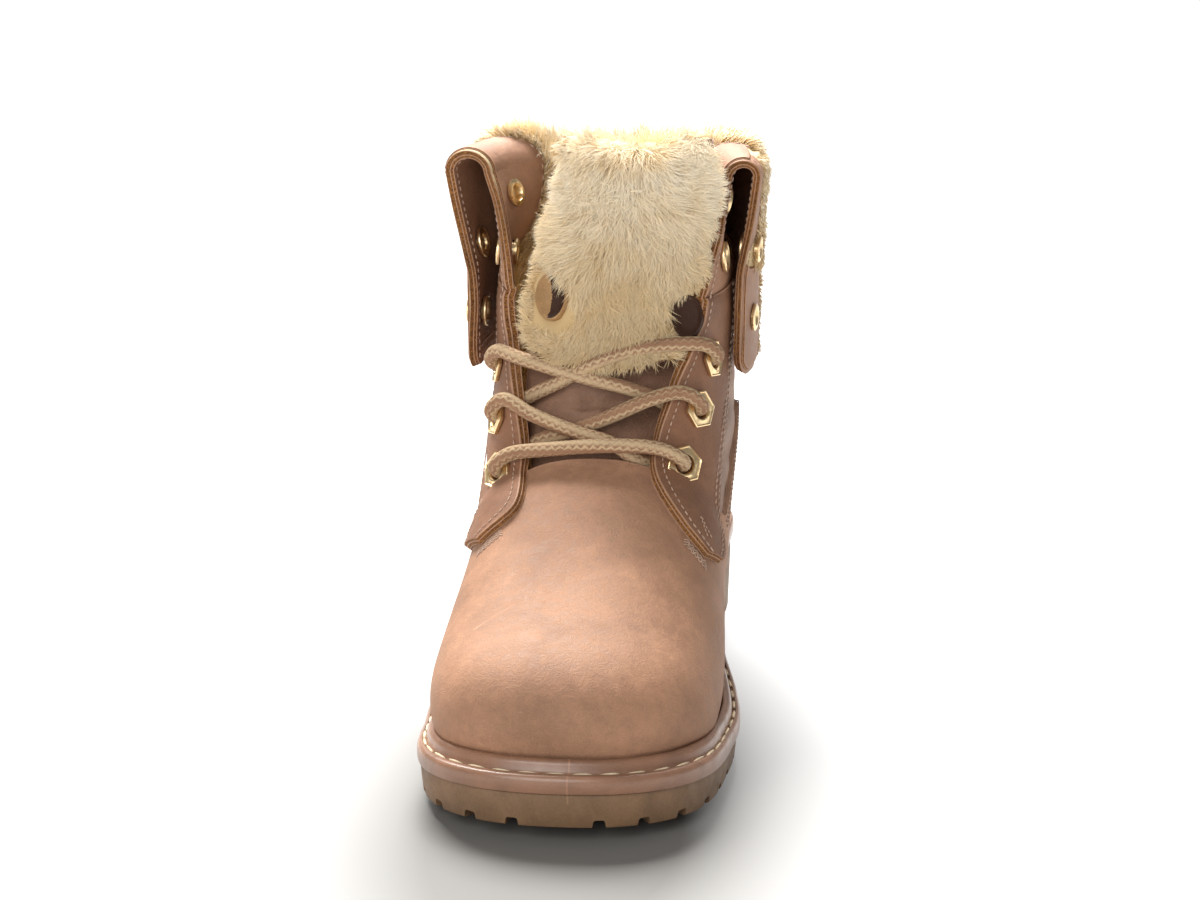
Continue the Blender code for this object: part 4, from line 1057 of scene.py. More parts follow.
def mark(mesh: bpy.types.Mesh, name: str, values: Any, vectors: bool = False) -> None:
    """Keep a value or a vector a point on a mesh."""
    kind, field_name = ("FLOAT_VECTOR", "vector") if vectors else ("FLOAT", "value")
    store = mesh.attributes.new(name, kind, "POINT").data
    store.foreach_set(field_name, np.asarray(values, np.float32).ravel())


def placed(name: str, data: Any) -> Piece:
    """Put a mesh, a light or a camera into the scene."""
    made = bpy.data.objects.new(name, data)
    bpy.context.collection.objects.link(made)
    return made


def applied(piece: Piece, name: str, *spares: Piece) -> bpy.types.Mesh:
    """Mesh of a piece with its modifiers applied; the piece and the spares are removed."""
    mesh = bpy.data.meshes.new_from_object(piece.evaluated_get(bpy.context.evaluated_depsgraph_get()))
    mesh.name = name
    for spare in (piece, *spares):
        bpy.data.objects.remove(spare)
    return mesh


def settle(piece: Piece, finish: Finish, *nodes: str) -> None:
    """Make a piece part of the boot.

    Args:
        piece: The piece.
        finish: Its main finish; not used.
        nodes: CAD nodes that it stands for.
    """
    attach(piece, "root")
    if nodes:
        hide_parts(*nodes)
    piece.data.calc_loop_triangles()
    LOG.info("%s: %d triangles", piece.name, len(piece.data.loop_triangles))


# Cut edge of a sheet from its top down: share of its thickness, how far out, finish of the band above.
SANDWICH = (
    (1.0, -1.02, 0), (0.985, -0.76, 1), (0.94, -0.56, 1), (0.88, -0.52, 1), (0.86, -0.56, 2),
    (0.62, -0.18, 2), (0.535, -0.14, 1), (0.51, 0.02, 1), (0.485, -0.06, 2), (0.34, 0.12, 2),
    (0.13, 0.34, 2), (0.1, 0.46, 1), (0.05, 0.42, 1), (0.0, 0.1, 0))


@dataclass(frozen=True)
class Crease:
    """A soft trough with a low ridge on each side of it.

    Attributes:
        path: Its line, in shoe sizes.
        width: Half width of the trough.
        depth: How deep it is; a ridge where negative.
    """

    path: tuple[Triple, ...]
    width: float
    depth: float

    def lift(self, points: Array) -> Array:
        """How far each point moves along its normal.

        Args:
            points: The points.

        Returns:
            One height a point, mostly negative.
        """
        path = fair(self.path, 14)
        best, where = np.full(points.shape[:-1], 1e9), np.zeros(points.shape[:-1])
        for k in range(len(path) - 1):
            run = path[k + 1] - path[k]
            u = np.clip(((points - path[k]) @ run) / (run @ run), 0, 1)
            far = np.linalg.norm(points - (path[k] + u[..., None] * run), axis=-1)
            nearer = far < best
            best, where = np.where(nearer, far, best), np.where(nearer, (k + u) / (len(path) - 1), where)
        fade = ease(where / 0.22) * ease((1 - where) / 0.22)
        d = best / self.width
        return self.depth * fade * (-bell(d) + 0.42 * bell((d - 2.0) / 1.1))


def creased(points: Array, normals: Array, creases: Sequence[Crease]) -> Array:
    """Points moved along their normals by every crease."""
    return points + normals * sum(crease.lift(points) for crease in creases)[..., None]


def sheet(draft: Draft, net: Array, normals: Array, top: Any, bottom: Any, keep: Array | None = None,
          under: int = 0) -> None:
    """Add a sheet with thickness and a shaped edge all round.

    Args:
        draft: Where it goes.
        net: Rows by columns of points of the surface it lies on.
        normals: Its normals.
        top: Height of the outer face over the surface.
        bottom: Height of the inner face.
        keep: Which quads it has; all if None.
        under: Finish of the inner face.
    """
    rows, columns = net.shape[:2]
    high = np.broadcast_to(np.asarray(top, float), (rows, columns)).reshape(-1, 1)
    low = np.broadcast_to(np.asarray(bottom, float), (rows, columns)).reshape(-1, 1)
    points, normals = net.reshape(-1, 3), normals.reshape(-1, 3)
    quads = grid_quads(rows, columns)
    if keep is not None:
        quads = quads[keep.reshape(-1)]
    a, b, c = (points[quads[:, k]] for k in range(3))
    if np.sum(np.cross(b - a, c - b) * normals[quads[:, 1]]) < 0:
        quads = quads[:, ::-1]
    edges = np.concatenate([quads[:, [k, (k + 1) % 4]] for k in range(4)])
    size = rows * columns
    lone = edges[~np.isin(edges[:, 0] * size + edges[:, 1], edges[:, 1] * size + edges[:, 0])]
    run = unit(points[lone[:, 1]] - points[lone[:, 0]])
    out = np.zeros_like(points)
    for end in range(2):
        np.add.at(out, lone[:, end], np.cross(run, normals[lone[:, end]]))
    border = np.unique(lone)
    out = unit(out)
    outer, inner = points + normals * high, points + normals * low
    outer[border] += out[border] * SANDWICH[0][1]
    inner[border] += out[border] * SANDWICH[-1][1]
    draft.add(outer, quads, 0)
    draft.add(inner, quads[:, ::-1], under)
    for (share, away, _), (share_next, away_next, finish) in zip(SANDWICH, SANDWICH[1:]):
        bands = [points + normals * (low + (high - low) * s) + out * w for s, w in
                 ((share, away), (share_next, away_next))]
        index = {v: k for k, v in enumerate(border)}
        local = np.array([[index[x], index[y]] for x, y in lone])
        count = len(border)
        faces = np.column_stack([local[:, 1], local[:, 0], local[:, 0] + count, local[:, 1] + count])
        draft.add(np.vstack([bands[0][border], bands[1][border]]), faces, finish)


# ---------------------------------------------------------------- geometry nodes
def grown(host: Piece, group: Tree, inputs: dict[str, Any], name: str) -> Piece:
    """Run a node group on a host mesh and keep its result as a plain piece.

    Args:
        host: Object that carries the group; it is removed.
        group: The node group.
        inputs: Values of its inputs by name.
        name: The piece's name.

    Returns:
        The piece.
    """
    step = host.modifiers.new(group.name, "NODES")
    step.node_group = group
    for item in group.interface.items_tree:
        if item.item_type == "SOCKET" and item.in_out == "INPUT" and item.name in inputs:
            step[item.identifier] = inputs[item.name]
    host.update_tag()
    return placed(name, applied(host, name))


def new_group(name: str, inputs: Sequence[tuple[str, str]]) -> tuple[Tree, Wiring, Any]:
    """A geometry node group with named inputs.

    Args:
        name: Its name.
        inputs: (name, kind of socket) of each input after the geometry.

    Returns:
        The group, its wiring and its inputs.
    """
    group = bpy.data.node_groups.new(name, "GeometryNodeTree")
    group.interface.new_socket("Geometry", in_out="INPUT", socket_type="NodeSocketGeometry")
    for label, kind in inputs:
        group.interface.new_socket(label, in_out="INPUT", socket_type="NodeSocket" + kind)
    group.interface.new_socket("Geometry", in_out="OUTPUT", socket_type="NodeSocketGeometry")
    wiring = Wiring(group)
    return group, wiring, wiring.add("NodeGroupInput").outputs


def finish_group(wiring: Wiring, instances: Any, material: Any) -> None:
    """End a group: realize its instances, smooth them and give them their finish."""
    real = wiring.geometry("RealizeInstances", {"Geometry": instances})
    soft = wiring.geometry("SetShadeSmooth", {"Geometry": real})
    dressed = wiring.geometry("SetMaterial", {"Geometry": soft, "Material": material})
    wiring.add("NodeGroupOutput", {"Geometry": dressed})


@dataclass
class Stitching:
    """Rows of stitches along seam lines.

    Attributes:
        name: The piece's name.
        finish: The thread.
        pitch: From one stitch to the next.
        length: Of a stitch.
        thickness: Of the thread.
        lines: Points and normals of each seam line.
    """

    name: str
    finish: Finish = Finish.THREAD
    pitch: float = 2.5
    length: float = 2.0
    thickness: float = 0.56
    lines: list = field(default_factory=list)

    def sew(self, points: Array, normals: Array) -> None:
        """Add a seam line."""
        self.lines.append((points, normals))

    def _group(self) -> Tree:
        """Node group that sets one stitch at each step along the lines."""
        group, w, given = new_group("stitch_run", [
            ("Pitch", "Float"), ("Length", "Float"), ("Thickness", "Float"), ("Material", "Material")])
        curve = w.geometry("MeshToCurve", {"Mesh": given["Geometry"]})
        even = w.geometry("ResampleCurve", {"Curve": curve, "Length": given["Pitch"]}, mode="LENGTH")
        up = w.geometry("InputNamedAttribute", {"Name": "up"}, data_type="FLOAT_VECTOR")
        turn = w.turned(up, w.geometry("InputTangent"))
        bead = w.geometry("MeshUVSphere", {"Segments": 6, "Rings": 5, "Radius": 0.5})
        size = w.sized(given["Length"], given["Thickness"], given["Thickness"])
        put = w.geometry("InstanceOnPoints", {"Points": even, "Instance": bead, "Rotation": turn,
                                              "Scale": size})
        finish_group(w, put, given["Material"])
        return group

    def build(self) -> None:
        """Make the stitches."""
        points, edges, ups = [], [], []
        for line, normals in self.lines:
            start = len(points)
            points.extend(LAST.world(line).tolist())
            ups.extend(normals.tolist())
            edges.extend((k, k + 1) for k in range(start, len(points) - 1))
        mesh = bpy.data.meshes.new(self.name)
        mesh.from_pydata(points, edges, [])
        mark(mesh, "up", ups, vectors=True)
        group = bpy.data.node_groups.get("stitch_run") or self._group()
        piece = grown(placed(self.name + "_lines", mesh), group, {
            "Pitch": self.pitch * MM, "Length": self.length * MM, "Thickness": self.thickness * MM,
            "Material": self.finish.material}, self.name)
        settle(piece, self.finish)


@dataclass
class Fur:
    """Fur grown on a surface, each hair a curved, tapering blade.

    Attributes:
        name: The piece's name.
        net: Root surface, rows by columns.
        out: Its normals on the fur's side.
        comb: Way that the hairs lean.
        pile: Length of the hairs, one a point.
        thick: Share of the full density, one a point.
        density: Hairs a square millimetre.
        width: Of a hair at its root.
        lean: How far the hairs lean.
        stray: How far each goes its own way.
        seed: Choice of the hairs' places.
    """

    name: str
    net: Array
    out: Array
    comb: Array
    pile: Array
    thick: Array
    density: float
    width: float = 0.3
    lean: float = 0.75
    stray: float = 0.28
    seed: int = 1

    @staticmethod
    def _blade() -> Piece:
        """One hair of length and width 1, bent towards +X."""
        held = bpy.data.objects.get("hair_blade")
        if held:
            return held
        levels = [(0.0, 0.0, 1.0), (0.46, 0.07, 0.92), (0.82, 0.27, 0.55)]
        points = [(x, w * side, z) for z, x, w in levels for side in (-0.5, 0.5)] + [(0.46, 0.0, 0.97)]
        mesh = bpy.data.meshes.new("hair_blade")
        mesh.from_pydata(points, [], [(0, 1, 3, 2), (2, 3, 5, 4), (4, 5, 6)])
        mark(mesh, "along", [0, 0, 0.46, 0.46, 0.82, 0.82, 1])
        return placed("hair_blade", mesh)

    @staticmethod
    def _group() -> Tree:
        """Node group that scatters the hairs."""
        group, w, given = new_group("fur_growth", [
            ("Hair", "Object"), ("Density", "Float"), ("Width", "Float"), ("Lean", "Float"),
            ("Stray", "Float"), ("Seed", "Int"), ("Material", "Material")])

        def named(label: str, kind: str) -> Any:
            """Output of a named attribute."""
            return w.geometry("InputNamedAttribute", {"Name": label}, data_type=kind)

        def chance(kind: str, low: Any, high: Any, shift: int) -> Any:
            """A random value for each hair."""
            first = 0 if kind == "FLOAT_VECTOR" else 2
            node = w.add("FunctionNodeRandomValue", {first: low, first + 1: high}, data_type=kind)
            w.tree.links.new(w.maths("ADD", given["Seed"], shift), node.inputs["Seed"])
            return node.outputs[0 if kind == "FLOAT_VECTOR" else 1]

        density = w.maths("MULTIPLY", given["Density"], named("thick", "FLOAT"))
        roots = w.geometry("DistributePointsOnFaces", {"Mesh": given["Geometry"], "Density": density,
                                                       "Seed": given["Seed"]})
        comb = named("comb", "FLOAT_VECTOR")
        leaning = w.vector("SCALE", comb, given["Lean"])
        own = chance("FLOAT_VECTOR", (-1, -1, -1), (1, 1, 1), 11)
        strayed = w.vector("SCALE", own, given["Stray"])
        rise = w.vector("ADD", w.vector("ADD", named("out", "FLOAT_VECTOR"), leaning), strayed)
        twist = w.vector("SCALE", chance("FLOAT_VECTOR", (-1, -1, -1), (1, 1, 1), 23), 0.55)
        turn = w.turned(rise, w.vector("ADD", comb, twist))
        length = w.maths("MULTIPLY", named("pile", "FLOAT"), chance("FLOAT", 0.7, 1.12, 37))
        size = w.sized(length, given["Width"], length)
        hair = w.add("GeometryNodeObjectInfo", {"Object": given["Hair"]}).outputs["Geometry"]
        put = w.geometry("InstanceOnPoints", {"Points": roots, "Instance": hair, "Rotation": turn,
                                              "Scale": size})
        kept = w.geometry("StoreNamedAttribute", {"Geometry": put, "Name": "tone",
                                                  "Value": chance("FLOAT", 0.0, 1.0, 51)},
                          data_type="FLOAT", domain="INSTANCE")
        finish_group(w, kept, given["Material"])
        return group

    def build(self) -> None:
        """Grow the fur."""
        rows, columns = self.net.shape[:2]
        mesh = bpy.data.meshes.new(self.name)
        mesh.from_pydata(LAST.world(self.net.reshape(-1, 3)).tolist(), [], grid_quads(rows, columns).tolist())
        mark(mesh, "comb", self.comb, vectors=True)
        mark(mesh, "out", self.out, vectors=True)
        mark(mesh, "pile", self.pile * MM)
        mark(mesh, "thick", self.thick)
        group = bpy.data.node_groups.get("fur_growth") or self._group()
        settle(grown(placed(self.name + "_skin", mesh), group, {
            "Hair": self._blade(), "Density": self.density * 1e6, "Width": self.width * MM, "Lean": self.lean,
            "Stray": self.stray, "Seed": self.seed, "Material": Finish.FUR.material}, self.name), Finish.FUR)


def backed(name: str, net: Array, out: Array, top: Array, bottom: float, *nodes: str) -> None:
    """The cloth that a fur grows from.

    Args:
        name: The piece's name.
        net: Its places.
        out: Normals there.
        top: Height of its face.
        bottom: Height of its underside.
        nodes: CAD nodes that it stands for.
    """
    draft = Draft()
    sheet(draft, net, out, top, bottom)
    settle(draft.make(name, *[Finish.BACKING] * 3), Finish.BACKING, *nodes)


def swirled(net: Array, out: Array, heading: Array, seed: int, swirl: float = 0.55,
            tuft: float = 0.6) -> Array:
    """A combing that wanders over the surface and gathers into tufts.

    Args:
        net: Places.
        out: Normals there.
        heading: Main heading.
        seed: Choice of the wander.
        swirl: Its strength at the size of a hand's stroke.
        tuft: Its strength at the size of a tuft.

    Returns:
        One unit vector a place, along the surface.
    """
    comb = unit(heading)
    for size, strength, shift in ((34.0, swirl, 0), (11.0, tuft * 0.6, 7), (4.6, tuft, 17)):
        wander = np.stack([drift(net, size, seed + shift + k) for k in range(3)], axis=-1)
        comb = comb + wander * strength
    comb -= out * np.sum(comb * out, axis=-1, keepdims=True)
    return unit(comb)


# ---------------------------------------------------------------- upper
@dataclass
class Panel:
    """A panel between a front and a rear edge on a skin.

    Attributes:
        skin: The skin.
        rows: (row, back) of the front edge and (row, back) of the rear edge, from the bottom up.
        top: Height of its face over the skin, as a function of the row.
    """

    skin: Skin
    rows: Any
    top: Callable[[Array], Array]

    def places(self, up: Array, across: Array) -> tuple[Array, Array]:
        """Rows and column shares of places on the panel.

        Args:
            up: Shares of the way up.
            across: Shares of the way from the front edge to the rear edge.

        Returns:
            Skin rows and column shares.
        """
        table = np.array(self.rows, float)
        read = smooth(np.linspace(0, 1, len(table)), table, up)
        row = read[..., 0] + (read[..., 2] - read[..., 0]) * across
        back = read[..., 1] + (read[..., 3] - read[..., 1]) * across
        return row, self.skin.share(row, back)

    def grid(self, rows: int, columns: int, start: float = 0.0,
             end: float = 1.0) -> tuple[Array, Array, Array]:
        """Points, normals and skin rows of the panel.

        Args:
            rows: How many rows.
            columns: How many columns.
            start: Where it starts, as a share of the way up.
            end: Where it ends.

        Returns:
            The three grids.
        """
        up, across = np.meshgrid(np.linspace(start, end, rows), np.linspace(0, 1, columns), indexing="ij")
        row, share = self.places(up, across)
        return self.skin.read(row, share), self.skin.normal(row, share), row

    def seam(self, inset: float, start: float, end: float, rear: bool = False) -> tuple[Array, Array]:
        """A seam line along one of the edges.

        Args:
            inset: Distance from the edge.
            start: Where it starts, as a share of the way up.
            end: Where it ends.
            rear: Whether it follows the rear edge.

        Returns:
            Points and normals.
        """
        up = np.linspace(start, end, 120)
        ends = [self.skin.read(*self.places(up, np.full(120, c))) for c in (0.0, 1.0)]
        width = np.linalg.norm(ends[1] - ends[0], axis=1)
        across = np.clip(inset / np.maximum(width, 0.1), 0, 0.5)
        row, share = self.places(up, 1 - across if rear else across)
        normals = self.skin.normal(row, share)
        return self.skin.read(row, share) + normals * (self.top(row) + THREAD_LIFT)[:, None], normals


EYESTAY_BAND = [(12.6, 0, 13.4, 34), (13.6, 0, 14.2, 34), (14.8, 0, 15.2, 34), (16.2, 0, 16.4, 34),
                (18.4, 0, 18.4, 34), (20.97, 0, 20.97, 34)]
EYESTAY = {
    Side.LATERAL: [
        (9.32, 17.6, 10.42, 33), (9.37, 13.3, 10.8, 34.8), (9.46, 8.3, 11.15, 35.4), (9.65, 3.2, 11.45, 35.4),
        (9.96, 0.7, 11.75, 35.2), (10.42, 0, 12.1, 35), (11.06, 0.4, 12.45, 34.6), (11.9, 0.3, 12.9, 34.2),
        *EYESTAY_BAND],
    Side.MEDIAL: [
        (9.46, 27.6, 10, 36.8), (9.5, 22.6, 10.4, 38.4), (9.62, 17.4, 10.75, 38.2), (9.82, 12.9, 11.05, 37.8),
        (10.1, 8.4, 11.35, 37), (10.36, 5.2, 11.65, 36.4), (10.72, 2.3, 12, 35.8), (11.25, 0.8, 12.4, 35.2),
        (11.9, 0.5, 12.9, 34.6), *EYESTAY_BAND],
}
WING = {
    Side.LATERAL: [(11, 0), (11.25, 14), (11.6, 30), (12.1, 38), (13, 41), (14.4, 46.5), (15.9, 54.5),
                   (17, 62.5)],
    Side.MEDIAL: [(11, 0), (11.25, 16), (11.6, 33), (12.1, 42), (13, 46.5), (14.4, 53.5), (15.9, 62),
                  (17, 70)],
}
VAMP_CREASES = (
    Crease(((-36, 99, 55), (-26, 91, 66.5), (-12, 88, 71.2), (2, 89, 72)), 5.5, 0.3),
    Crease(((34, 95, 56.5), (26, 87, 64), (13, 83, 69), (1, 84, 70.3)), 5.5, 0.32),
    Crease(((-44, 86, 47), (-33, 78, 57.5), (-18, 74, 64.5)), 6, 0.2),
    Crease(((43, 84, 45), (34, 76, 55.5), (20, 71, 63)), 6, 0.22),
    Crease(((-41, 116, 51), (-38, 124, 45), (-36, 133, 36)), 3.4, 0.5),
    Crease(((38.5, 112, 51), (37, 121, 44), (33, 131, 35)), 3.4, 0.5),
)
ANKLE_CREASES = (
    Crease(((-43, 128, 74), (-43.5, 146, 80), (-43, 166, 78)), 3.2, 0.7),
    Crease(((-42.8, 150, 96), (-42.8, 168, 96), (-42, 190, 90)), 3.6, 0.7),
    Crease(((41, 132, 78), (41.6, 150, 83), (41.5, 172, 80)), 3.2, 0.7),
    Crease(((41.2, 152, 98), (41.3, 172, 98), (40.5, 194, 92)), 3.6, 0.7),
    Crease(((-41.5, 186, 112), (-38.5, 214, 116), (-28, 240, 112)), 4, 0.8),
    Crease(((40.5, 188, 114), (37.5, 214, 118), (28, 240, 113)), 4, 0.8),
)


@dataclass
class Upper:
    """Vamp with its wings, quarters, eyestays and backstay.

    Attributes:
        leather: Thickness of one leather.
        eyestay_rise: Height of the eyestay over the skin beside the eyelets.
        tip_rise: Height over the vamp at its tips.
        single: Thickness of the eyestay over the vamp.
        facing: Thickness of the eyestay with its lining.
        wing_end: Rows from the heel's row to the end of a wing.
        wing_tip: Width that a wing keeps there, as a share of the skin's.
        wing_seams: Distances of its two seams from its edge.
        stitches: Seams of the upper.
        tacks: Short, dense rows at the eyestays' tips.
    """

    leather: float = 1.7
    eyestay_rise: float = 0.95
    tip_rise: float = 3.0
    single: float = 2.8
    facing: float = 4.2
    wing_end: float = 2.45
    wing_tip: float = 0.012
    wing_seams: tuple[float, float] = (2.4, 4.6)
    stitches: Stitching = field(default_factory=lambda: Stitching("upper_stitches"))
    tacks: Stitching = field(
        default_factory=lambda: Stitching("tack_stitches", pitch=1.6, length=1.35, thickness=0.42))

    def eyestay_top(self, row: Array) -> Array:
        """Height of the eyestay's face over the skin."""
        rise = self.eyestay_rise - 0.85 * ease((row - 19.6) / 1.3)
        return rise + (self.tip_rise - self.eyestay_rise) * ease((11.75 - row) / 1.15)

    def eyestay_depth(self, row: Array) -> Array:
        """Thickness of the eyestay: one leather over the vamp, with its lining beside the throat."""
        return self.single + (self.facing - self.single) * ease((row - 10.9) / 0.9)

    def wing_top(self, row: Array) -> Array:
        """Height of the vamp and its wings over the skin."""
        return 1.15 * ease((row - 10.7) / 1.6)

    def vamp(self) -> None:
        """Vamp and wings: one leather from the toe round to the back."""
        rows = np.concatenate([np.linspace(0, 1, 7)[:-1], np.linspace(1, 11, 56)[:-1],
                               11 + np.linspace(0, 1, 10)[:-1] ** 1.3, np.linspace(12, 16.5, 22)[:-1],
                               HEEL_ROWS, np.linspace(LAST.heel_row, 19.45, 12)])
        sides, tops = 44, 12
        halves = []
        for side in Side:
            skin = LAST.skins[side]
            wing = np.array(WING[side], float)
            top_share = skin.share(rows, np.interp(rows, wing[:, 0], wing[:, 1]))
            heel = ease((rows - LAST.heel_row) / self.wing_end)
            at_heel = top_share[rows == LAST.heel_row][0]
            top_share = np.where(rows > LAST.heel_row, at_heel * (1 - heel) + self.wing_tip, top_share)
            columns = (1 - (1 - np.linspace(0, 1, sides)) ** 1.15)[None, :] * top_share[:, None]
            over = top_share[:, None] + (1 - top_share[:, None]) * np.linspace(0, 1, tops + 1)[None, 1:]
            share = np.concatenate([columns, over], axis=1)
            halves.append(skin.lay(rows, share))
        net, normals = joined(halves)
        net = creased(net, normals, VAMP_CREASES + ANKLE_CREASES)
        bend = 0.5 * ease(1 - np.abs(rows[1:-1, None, None] - LAST.heel_row) / 0.7)
        for _ in range(10):
            for grid in (net, normals):
                grid[1:-1] += bend * ((grid[:-2] + grid[2:]) / 2 - grid[1:-1])
        columns = net.shape[1]
        r, c = np.meshgrid(np.arange(len(rows) - 1), np.arange(columns - 1), indexing="ij")
        keep = (rows[r] < 10.999) | (c < sides - 1) | (c >= columns - sides)
        draft = Draft()
        top = self.wing_top(rows)[:, None]
        sheet(draft, net, normals, top, top - self.leather, keep)
        piece = draft.make("vamp", Finish.NUBUCK, Finish.SKIN, Finish.SKIN)
        for side in Side:
            skin, wing = LAST.skins[side], np.array(WING[side][3:], float)
            for inset in self.wing_seams:
                line, normals = skin.strip(wing + (0, inset), 90)
                row = fair(wing, 90)[:, 0]
                self.stitches.sew(creased(line, normals, VAMP_CREASES + ANKLE_CREASES)
                                  + normals * (self.wing_top(row) + THREAD_LIFT)[:, None], normals)
                row = np.linspace(LAST.heel_row, 19.3, 70)
                narrowing = 1 - ease((row - LAST.heel_row) / self.wing_end)
                share = (skin.share(LAST.heel_row, wing[-1, 1]) * narrowing + self.wing_tip
                         - inset / np.interp(row, skin.knots, skin.length))
                row, share = row[share > 0], share[share > 0]
                normals = skin.normal(row, share)
                self.stitches.sew(skin.read(row, share) + normals * 1.27, normals)
        settle(piece, Finish.NUBUCK, "upper")

    def quarters(self) -> None:
        """The two quarters, closed at the back, up to the seam under the collar."""
        rows = np.concatenate([np.linspace(10.6, 16.5, 34)[:-1], HEEL_ROWS,
                               np.linspace(LAST.heel_row, 20.98, 26)])
        halves = []
        for side in Side:
            skin = LAST.skins[side]
            low = 0.16 * ease((19.2 - rows) / 1.2)
            high = skin.share(rows, np.interp(rows, [10.6, 11.6, 12.6, 13.5, 21], [30, 30, 14, 8, 6]))
            share = low[:, None] + (high - low)[:, None] * np.linspace(0, 1, 42)
            halves.append(skin.lay(rows, share))
        draft = Draft()
        for net, normals in halves:
            net = creased(net, normals, ANKLE_CREASES)
            net = net + normals * (0.35 * drift(net, 26, 5) - 0.1)[..., None]
            sheet(draft, net, normals, -0.15, -2.0)
        settle(draft.make("quarters", Finish.QUARTER, Finish.SKIN, Finish.EDGE), Finish.QUARTER)

    def backstay(self) -> None:
        """Strip up the back seam."""
        rows = np.linspace(LAST.heel_row, 20.97, 54)
        width = np.interp(rows, [17, 18, 19.5, 21], [12.0, 10.5, 8.0, 9.5])
        halves = []
        for side in Side:
            skin = LAST.skins[side]
            length = np.interp(rows, skin.knots, skin.length)
            share = (width / length)[:, None] * np.linspace(0, 1, 9)
            halves.append(skin.lay(rows, share))
        net, normals = (np.concatenate([halves[0][k][:, ::-1], halves[1][k][:, 1:]], axis=1)
                        for k in range(2))
        draft = Draft()
        top = 2.5 - 1.2 * ease((rows - 19.2) / 0.8)[:, None]
        sheet(draft, net, normals, top, top - 1.5)
        for column, step in ((1, 1), (-2, -1)):
            line = net[:, column] + (net[:, column + step] - net[:, column]) * 0.3
            self.stitches.sew(line + normals[:, column] * (top + THREAD_LIFT), normals[:, column])
        settle(draft.make("backstay", Finish.NUBUCK, Finish.SKIN, Finish.SKIN), Finish.NUBUCK)

    def eyestay(self, side: Side, bores: Sequence[Frame]) -> None:
        """One eyestay, with the second leather under its lower part.

        Args:
            side: Side of the boot.
            bores: Frames of the holes through it.
        """
        panel = Panel(LAST.skins[side], EYESTAY[side], self.eyestay_top)
        net, normals, row = panel.grid(104, 24)
        net = creased(net, normals, ANKLE_CREASES)
        draft = Draft()
        rear = ease((np.linspace(0, 1, 24) - 0.86) / 0.14) * ease((row - 12) / 1.2)
        top, depth = self.eyestay_top(row) - 0.75 * rear, self.eyestay_depth(row) * (1 - 0.6 * rear)
        sheet(draft, net, normals, top, top - depth, under=3)
        start = 0.0 if side is Side.LATERAL else 0.055
        net, normals, row = panel.grid(50, 10, start, 0.44)
        top = self.eyestay_top(row) - self.eyestay_depth(row) - 0.08
        shift = unit(net[:, :1] - net[:, 1:2]) * 1.1
        sheet(draft, net + shift, normals, top, top - 1.45)
        piece = draft.make(f"eyestay_{side.label}", Finish.EYESTAY, Finish.SKIN, Finish.EDGE, Finish.LINING)
        self.stitches.sew(*panel.seam(3.0, 0.03, 0.995))
        self.stitches.sew(*panel.seam(2.6, 0.04, 0.995, rear=True))
        self.stitches.sew(*panel.seam(5.0, 0.04, 0.995, rear=True))
        self._tack(side, panel)
        settle(pierced(piece, bores), Finish.EYESTAY)

    def _tack(self, side: Side, panel: Panel) -> None:
        """Thread that holds the eyestay above its tip, and dense rows on the vamp below it."""
        fork = ([(0.1, 0.62), (0.16, 0.5), (0.22, 0.62), (0.28, 0.54), (0.34, 0.6)]
                if side is Side.LATERAL else
                [(0.12, 0.3), (0.17, 0.32), (0.22, 0.33), (0.17, 0.36), (0.12, 0.4)])
        up, across = fair(fork, 40).T
        row, share = panel.places(up, across)
        normals = panel.skin.normal(row, share)
        lift = (self.eyestay_top(row) + 0.1)[:, None]
        self.tacks.sew(panel.skin.read(row, share) + normals * lift, normals)
        front = np.array(EYESTAY[side][:4])[:, :2]
        back = np.linspace(front[0, 1] + 2.0, front[0, 1] - 9.0, 31)
        zigzag = 0.035 * np.where(np.arange(31) % 2, 1, -1)
        for below in (0.12, 0.2, 0.28):
            row = np.interp(back, front[::-1, 1], front[::-1, 0]) - below + zigzag
            self.tacks.sew(*panel.skin.strip(np.column_stack([row, back]), 110, 0.15))

    def build(self, bores: dict[Side, Sequence[Frame]]) -> None:
        """Make every piece of the upper, with its eyelet holes."""
        self.vamp()
        self.quarters()
        self.backstay()
        for side in Side:
            self.eyestay(side, bores[side])
        self.stitches.build()
        self.tacks.build()


